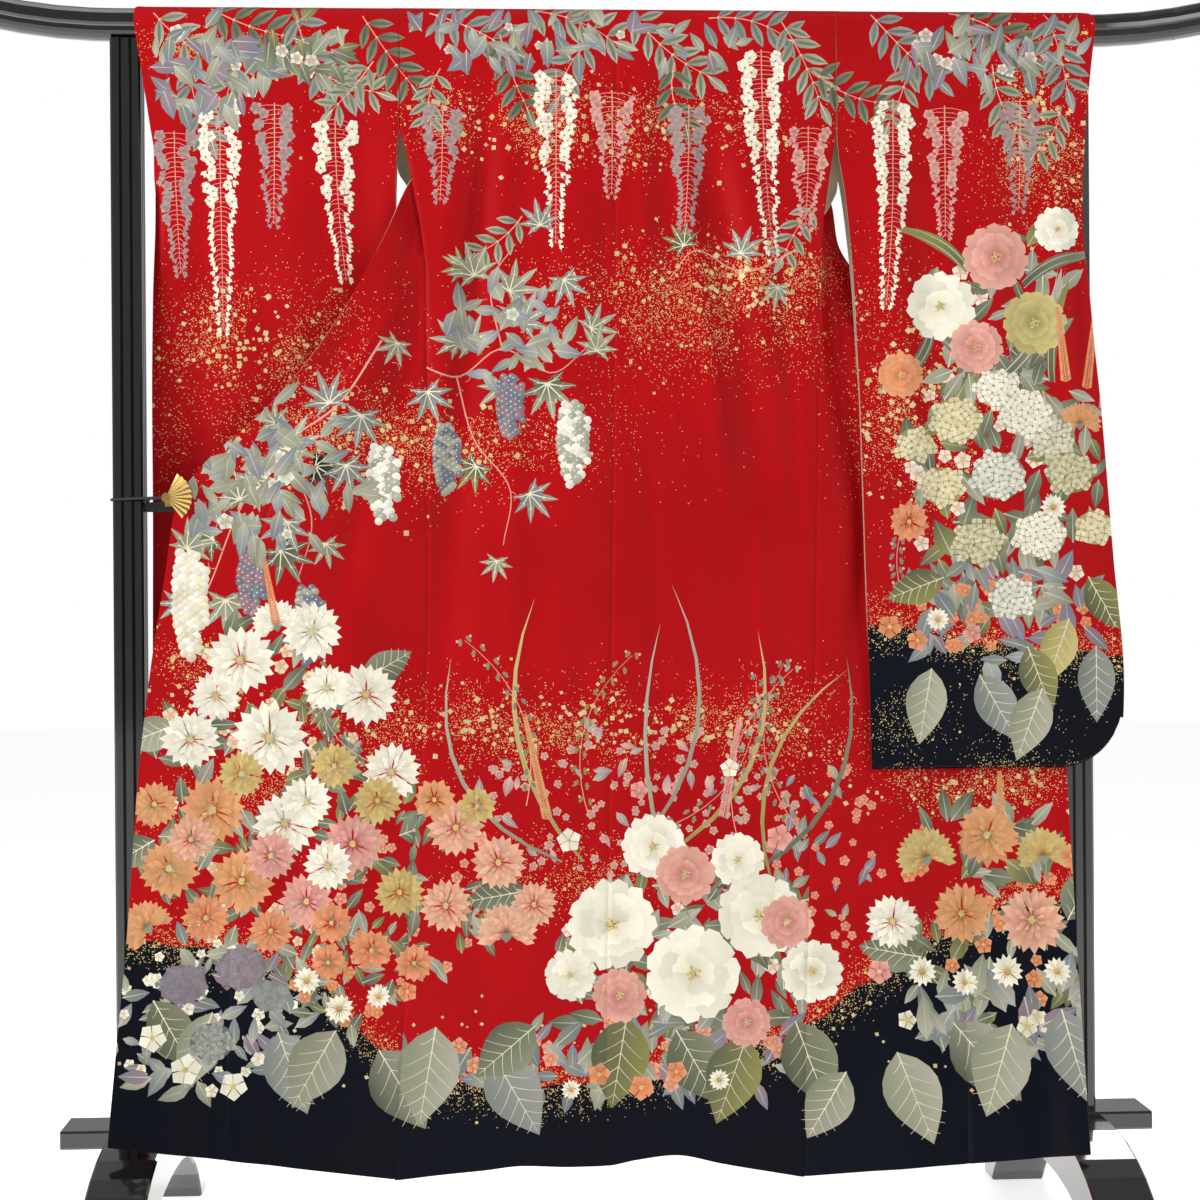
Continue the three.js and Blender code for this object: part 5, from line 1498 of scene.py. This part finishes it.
# The collar band runs up one free edge, along the back of the neck behind the rail, and down the other.
NECK_LINE = [
    # [x at the seam, x at the fold, fold z]
    (-86, -80, 1705),
    (-40, -44, 1700),
    (29, 29, 1698),
    (98, 102, 1700),
    (144, 138, 1705),
]
collar_stops = []
down_left, down_right = np.linspace(COLLAR_END["left"], 0.06, 70), np.linspace(0.06, COLLAR_END["right"], 70)
for side, ts in (("left", down_left), ("right", down_right)):
    s = np.linspace(0, 1, 3)
    rows = []
    for t in ts:
        tt = np.full(3, t)
        u = mix(collar_share(side, t) - tuck_in(side, t), 1, s)
        rows.append(front_point(side, tt, u))
    collar_stops.append(rows)
neck = [
    np.array([[a, 21.8, 1754.4], [mix(a, b, 0.5), 24.5, mix(1754.4, c, 0.5)], [b, 28.5, c]])
    for a, b, c in NECK_LINE
]
stops = np.array(collar_stops[0] + neck + collar_stops[1])
collar_run = np.concatenate([[0], np.cumsum(np.linalg.norm(np.diff(stops[:, 1], axis=0), axis=1))])


def collar_place(ab):
    """Flat points of the band: across it from the seam (0) to the fold, and along it."""
    slope = np.gradient(stops, collar_run, axis=0)
    d = np.clip(ab[:, 0], 0, collar_run[-1])
    i = np.clip(np.searchsorted(collar_run, d, side="right") - 1, 0, len(collar_run) - 2)
    h = (collar_run[i + 1] - collar_run[i])[:, None, None]
    t = ((d - collar_run[i]))[:, None, None] / h
    row = bend(t, h, stops[i], stops[i + 1], slope[i], slope[i + 1])
    s = (ab[:, 1] / COLLAR_WIDTH)[:, None]
    low, high = row[:, 0] + (row[:, 1] - row[:, 0]) * s * 2, row[:, 1] + (row[:, 2] - row[:, 1]) * (s * 2 - 1)
    return np.where(s < 0.5, low, high)


n = round(collar_run[-1] / 7)
run = np.linspace(0, collar_run[-1], n + 1)
band = np.linspace(0, COLLAR_WIDTH, 8)
there = [(d, 0) for d in run] + [(run[-1], s) for s in band[1:]]
back_again = [(d, COLLAR_WIDTH) for d in run[-2::-1]] + [(0, s) for s in band[-2:0:-1]]
loop = np.array(there + back_again, float)
collar_shapes = []
for side in ("left", "right"):
    ts = np.linspace(COLLAR_END[side], 0.06, 70)
    runs = collar_run[:70] if side == "left" else collar_run[:-71:-1]

    def on_band(side, t, u, ts=ts, runs=runs):
        from_u = collar_share(side, t) - tuck_in(side, t)
        return np.stack([np.interp(-t, -ts, runs), (u - from_u) / (1 - from_u) * COLLAR_WIDTH], 1)

    collar_shapes += shapes_over(side[0], front_chart(side, 0.27, COLLAR_END[side] + 0.004, on_band), loop)
panel = cloth("collar_cloth", loop, collar_place, collar_shapes)
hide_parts("collar")
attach(panel, "root")

# ---------------------------------------------------------------- the sleeves
# Each sleeve is one loop of cloth over the rail, closed along its foot and up its
# outer edge as far as the cuff; its inner edge is open below the armhole.
SLEEVES = {
    "left": [
        # [z, inner x, outer x front, outer x behind, inner y front, outer y front, inner y behind, outer y behind]
        (1755, -283.4, -657, -640, -22.6, -22.6, 21.8, 21.8),
        (1742, -283.4, -655, -640, -23.8, -23.8, 22, 22),
        (1602, -283.4, -634, -636, -27, -24, 21, 21),
        (1573, -286.5, -630, -632, -27.4, -22, 20.5, 20.5),
        (1500, -289, -631, -632, -21, -13, 20, 19),
        (1360, -288, -637, -637, -8, 2, 20, 15),
        (1200, -286, -640, -640, 6, 12, 21, 16),
        (1077, -284, -640, -640, 12, 13.5, 22, 17),
        (936, -282, -641, -641, 13, 14, 23, 17.5),
        (794, -281, -642, -642, 13, 14, 23, 17.5),
        (688, -280, -641, -641, 13, 14, 22, 17.5),
    ],
    "right": [
        (1755, 344.4, 723, 650, -22.6, -22.6, 21.8, 21.8),
        (1742, 344.4, 721, 650, -23.8, -23.8, 22, 22),
        (1602, 344.4, 706, 648, -26.8, -27, 19, 19),
        (1573, 346, 704, 648, -27.4, -28, 15, 10),
        (1520, 354, 700, 650, -30, -32, 6, -27),
        (1460, 360, 700, 697, -33.5, -34.5, -4, -31),
        (1372, 366, 708, 708, -38, -36.5, -17, -33),
        (1287, 369, 715, 715, -42, -38.5, -29, -35),
        (1214, 372, 722, 722, -45, -40, -37, -36.5),
        (983, 377, 739, 739, -52, -43, -45, -39.5),
        (811, 381, 752, 752, -56, -46, -49, -42.5),
        (684, 383, 746, 746, -59, -48, -52, -44.5),
    ],
}
SLEEVE_FOLDS = {
    "left": [
        # [share across at top, at foot, depth, half width, z top, z foot]
        (0.16, 0.12, 5, 26, 1700, 1300),
        (0.42, 0.4, -5, 34, 1680, 1000),
        (0.78, 0.82, 4, 28, 1700, 900),
    ],
    "right": [
        (0.16, 0.2, -7, 26, 1640, 1100),
        (0.34, 0.3, 5, 24, 1560, 900),
        (0.62, 0.58, -5, 34, 1690, 1000),
        (0.9, 0.88, -6, 22, 1560, 1180),
        (0.45, 0.5, 5, 30, 1000, 640),
        (0.76, 0.72, -5, 30, 1050, 640),
    ],
}
CUFF_FOOT = 1530
SLEEVE_CORNER = 85
FOLD_RUN = 5  # mm of cloth round the foot fold
SLEEVE_RUN = 1050  # mm of flat from the rail's front foot to the fold
SLEEVE_FLAT = {"left": 358, "right": 372}
RAIL_FLAT_HALF, RAIL_HALF, RAIL_END_RISE = 700, 930, 33


def rail_rise(x):
    return RAIL_END_RISE * np.clip((np.abs(x) - RAIL_FLAT_HALF) / (RAIL_HALF - RAIL_FLAT_HALF), 0, 1) ** 2


def sleeve_point(side, v, z, behind):
    rows = SLEEVES[side]
    inner, outer = curve(rows, z, 1), np.where(behind, curve(rows, z, 3), curve(rows, z, 2))
    x = mix(inner, outer, v)
    share = np.where(behind, np.maximum(v, 0) ** 1.6, v)
    y_inner = np.where(behind, curve(rows, z, 6), curve(rows, z, 4))
    y = mix(y_inner, np.where(behind, curve(rows, z, 7), curve(rows, z, 5)), share)
    width = np.abs(outer - inner)
    for vt, vf, depth, half, zt, zf in SLEEVE_FOLDS[side]:
        s = (zt - z) / (zt - zf)
        live = ease(s, -0.05, 0.25) * (1 - ease(s, 0.75, 1.05)) * ease(v, 0, 0.08) * (1 - ease(v, 0.93, 1))
        y = y + np.where(behind, 0.6, 1) * depth * live * bump(v * width, mix(vt, vf, np.clip(s, 0, 1)) * width, half)
    return np.stack([x, y, z], 1)


def sleeve_foot(side, v):
    """Height of the foot fold under share v of the width, with its rounded outer corner."""
    rows = SLEEVES[side]
    x = np.abs(mix(curve(rows, 760, 1), curve(rows, 760, 2), v))
    outer = abs(float(curve(rows, 700, 2)))
    over = np.clip(x - (outer - SLEEVE_CORNER), 0, SLEEVE_CORNER * 0.985)
    return (693 if side == "left" else 690) + SLEEVE_CORNER - np.sqrt(SLEEVE_CORNER**2 - over**2)


def sleeve_place(side):
    sign = SIDES[side][0]
    rows = SLEEVES[side]

    def place(ab):
        v, b = sign * ab[:, 0] / SLEEVE_FLAT[side], ab[:, 1]
        foot = sleeve_foot(side, v)
        scale = (1742 - foot) / SLEEVE_RUN
        behind_low = b < -SLEEVE_RUN - FOLD_RUN
        behind_top = b > RAIL_LENGTH
        behind = behind_low | behind_top
        low_z = np.where(behind_low, foot - (b + SLEEVE_RUN + FOLD_RUN) * scale, 1742 + b * scale)
        z = np.where(behind_top, 1755 - (b - RAIL_LENGTH), low_z)
        z = np.clip(z, foot, 1755)
        p = sleeve_point(side, v, z, behind)
        pair = sleeve_point(side, v, z, ~behind)
        middle = (p[:, 1] + pair[:, 1]) / 2
        # the two layers are sewn together along the closed outer edge
        near = ease(v, 0.965, 1) * (1 - ease(z, CUFF_FOOT - 25, CUFF_FOOT + 10))
        p[:, 1] = mix(p[:, 1], middle + np.where(behind, 0.95, -0.95), near)
        fold = np.clip((-SLEEVE_RUN - b) / FOLD_RUN, 0, 1)
        at_fold = (fold > 0) & (fold < 1)
        f = sleeve_point(side, v, foot, np.zeros(len(v), bool))
        g = sleeve_point(side, v, foot, np.ones(len(v), bool))
        turn = (1 - np.cos(np.pi * fold)) / 2
        q = f + (g - f) * turn[:, None]
        q[:, 2] -= 2.6 * np.sin(np.pi * fold)
        p[at_fold] = q[at_fold]
        top = (b > 0) & ~behind_top
        yz = over_rail(np.clip(b, 0, RAIL_LENGTH))
        share = np.clip((yz[:, 0] + 20) / 40, 0, 1)
        xo = mix(rows[0][2], rows[0][3], share)
        xo = mix(rows[1][2], xo, ease(b, 0, 12))
        x = mix(rows[0][1], xo, v)
        z_up = yz[:, 1] + rail_rise(x + SHIFT_X) * ease(yz[:, 1], 1742, 1774)
        p[top] = np.stack([x, yz[:, 0], z_up], 1)[top]
        return p

    return place


def sleeve_chart(side, behind):
    """Finds where points of the hung picture lie on one layer of the sleeve's flat."""
    sign, rows = SIDES[side][0], SLEEVES[side]

    def chart(p):
        x, z = p[:, 0], p[:, 1]
        inner = curve(rows, np.minimum(z, 1755), 1)
        v = (x - inner) / (curve(rows, np.minimum(z, 1755), 3 if behind else 2) - inner)
        foot = sleeve_foot(side, np.clip(v, 0, 1))
        scale = (1742 - foot) / SLEEVE_RUN
        b = np.where(z > 1742, z - 1742, (z - 1742) / scale)
        if behind:
            b = np.where(z < CUT_Z - 15, -SLEEVE_RUN - FOLD_RUN - (z - foot) / scale, np.nan)
        return np.stack([sign * SLEEVE_FLAT[side] * v, b], 1)

    return chart


CUT_Z = 1690  # behind the rail, where the loop of cloth meets itself
for side in ("left", "right"):
    sign = SIDES[side][0]
    w = SLEEVE_FLAT[side]
    vs = np.linspace(0, 1, round(w / 7) + 1)
    high = RAIL_LENGTH + 1755 - CUT_Z
    low = -SLEEVE_RUN - FOLD_RUN - (CUT_Z - sleeve_foot(side, vs)) * SLEEVE_RUN / (1742 - sleeve_foot(side, vs))

    def edge_levels(lowest):
        n = 125
        turn = -SLEEVE_RUN
        over = [np.linspace(0, RAIL_LENGTH, 16)[1:], np.linspace(RAIL_LENGTH, high, 9)[1:]]
        fold = turn - FOLD_RUN * np.array([0.75, 0.5, 0.25])
        return np.concatenate([np.linspace(lowest, turn - FOLD_RUN, n), fold, np.linspace(turn, 0, n), *over])

    one = [(w * v, b) for v, b in zip(vs, low)]
    two = [(w, b) for b in edge_levels(low[-1])[1:]]
    three = [(w * v, high) for v in vs[::-1][1:]]
    four = [(0.0, b) for b in edge_levels(low[0])[::-1][1:-1]]
    loop = np.array(one + two + three + four, float)
    if sign < 0:
        loop = loop[::-1] * [-1, 1]
    fold_rows = [
        np.stack([sign * w * vs[1:-1], np.full(len(vs) - 2, -SLEEVE_RUN - FOLD_RUN * k)], 1)
        for k in (-0.8, 0, 0.25, 0.5, 0.75, 1, 1.8)
    ]
    letter = side[0].upper()
    behind = [s for s in shapes_over(letter, sleeve_chart(side, True), loop) if np.ptp(s[0], 0).min() > 11]
    picture = shapes_over(letter, sleeve_chart(side, False), loop) + behind
    panel = cloth("sleeve_%s_cloth" % side, loop, sleeve_place(side), picture, fold_rows)
    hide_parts("sleeve_" + side)
    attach(panel, "root")

# ------------------------------------------------------------------ the stand
# Black gloss lacquer on softwood: reeded posts, a moulded rail with raised ends,
# a thin stretcher, a base plank and two arched feet.
f = Finish("black_lacquer")
at = f.node("TexCoord", out="Object")
wavy = f.noise(f.stretched(at, (1, 1, 0.35)), 26, 2)
lacquer = f.done(
    wavy,
    0.05,
    0.0015,
    Base_Color=f.cover(f.noise(at, 5), (0.0032, 0.0032, 0.004, 1), (0.006, 0.0058, 0.0062, 1)),
    Roughness=f.noise(at, 45) * 0.1 + 0.1,
    Coat_Weight=1.0,
    Coat_Roughness=0.06,
)
for node in ("top_rail", "post_left", "post_right", "mid_rail", "base_plank", "foot_left", "foot_right"):
    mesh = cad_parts[node].data
    mesh.materials.clear()
    mesh.materials.append(lacquer)

# ---------------------------------------------------------- clips and their cords
# Polished brass clips, the left one shaped as an open fan, on black braided elastic.
f = Finish("polished_brass")
at = f.node("TexCoord", out="Object")
brass = f.done(
    f.noise(at, 420, 2),
    0.12,
    0.0004,
    Base_Color=f.cover(f.noise(at, 70), (0.72, 0.5, 0.17, 1), (0.5, 0.32, 0.1, 1)),
    Roughness=f.noise(at, 130) * 0.22 + 0.16,
    Metallic=1.0,
)
f = Finish("braided_elastic")
at = f.node("TexCoord", out="Object")
bands = {"wave_type": "BANDS", "bands_direction": "DIAGONAL"}
braid = f.node("TexWave", bands, {"Vector": at, "Scale": 420.0, "Distortion": 1.5})
threads = f.cover(braid, (0.004, 0.004, 0.005, 1), (0.02, 0.02, 0.023, 1))
elastic = f.done(braid, 0.5, 0.0005, Base_Color=threads, Roughness=braid * 0.15 + 0.7)
CLIPS = {"fan_clip_left": brass, "clip_right": brass, "clip_cord_left": elastic, "clip_cord_right": elastic}
for node, finish in CLIPS.items():
    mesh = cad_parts[node].data
    mesh.materials.clear()
    mesh.materials.append(finish)

# --------------------------------------------------------------- floor, lights
# A pale floor in a white room, lit softly: a grazing light from the left shows the
# creases, a weaker one fills from the right, one hangs above and one is behind.
pale = bpy.data.materials.new("pale_ground")
pale.use_nodes = True
pale.node_tree.nodes["Principled BSDF"].inputs["Base Color"].default_value = (0.86, 0.86, 0.85, 1)
pale.node_tree.nodes["Principled BSDF"].inputs["Roughness"].default_value = 0.9
pale.node_tree.nodes["Principled BSDF"].inputs["Emission Color"].default_value = (1, 1, 1, 1)
pale.node_tree.nodes["Principled BSDF"].inputs["Emission Strength"].default_value = 0.7
rim = [(14 * math.cos(k * math.pi / 48), 14 * math.sin(k * math.pi / 48), 0) for k in range(96)]
pts, faces = [(0, 0, 0)] + rim, [(0, k + 1, (k + 1) % 96 + 1) for k in range(96)]
mesh = bpy.data.meshes.new("ground")
mesh.from_pydata(pts, [], faces)
mesh.materials.append(pale)
ground = bpy.data.objects.new("ground", mesh)
bpy.context.scene.collection.objects.link(ground)

LIGHTS = [
    # [name, place, aim, width, height, watts]
    ("left_softbox", (-3.3, -1.5, 2.3), (0, 0, 0.95), 0.9, 2.0, 106),
    ("right_softbox", (2.2, -3.0, 1.9), (0, 0, 0.9), 1.2, 1.8, 24),
    ("top_softbox", (0, -0.8, 3.6), (0, 0, 0.8), 2.2, 1.2, 18),
    ("rear_softbox", (1.2, 3.2, 2.3), (0, 0, 0.9), 1.6, 1.6, 45),
]
for name, place, aim, wide, tall, watts in LIGHTS:
    light = bpy.data.lights.new(name, "AREA")
    light.shape, light.size, light.size_y, light.energy = "RECTANGLE", wide, tall, watts
    lamp = bpy.data.objects.new(name, light)
    lamp.location = place
    lamp.rotation_euler = (Vector(aim) - Vector(place)).to_track_quat("-Z", "Y").to_euler()
    bpy.context.scene.collection.objects.link(lamp)
world = bpy.data.worlds.new("room")
world.use_nodes = True
air = world.node_tree.nodes["Background"]
air.inputs["Color"].default_value = (1, 1, 1, 1)
seen = world.node_tree.nodes.new("ShaderNodeLightPath")
level = world.node_tree.nodes.new("ShaderNodeMapRange")
level.inputs["To Min"].default_value, level.inputs["To Max"].default_value = 0.3, 1.0
world.node_tree.links.new(seen.outputs["Is Camera Ray"], level.inputs["Value"])
world.node_tree.links.new(level.outputs["Result"], air.inputs["Strength"])
bpy.context.scene.world = world
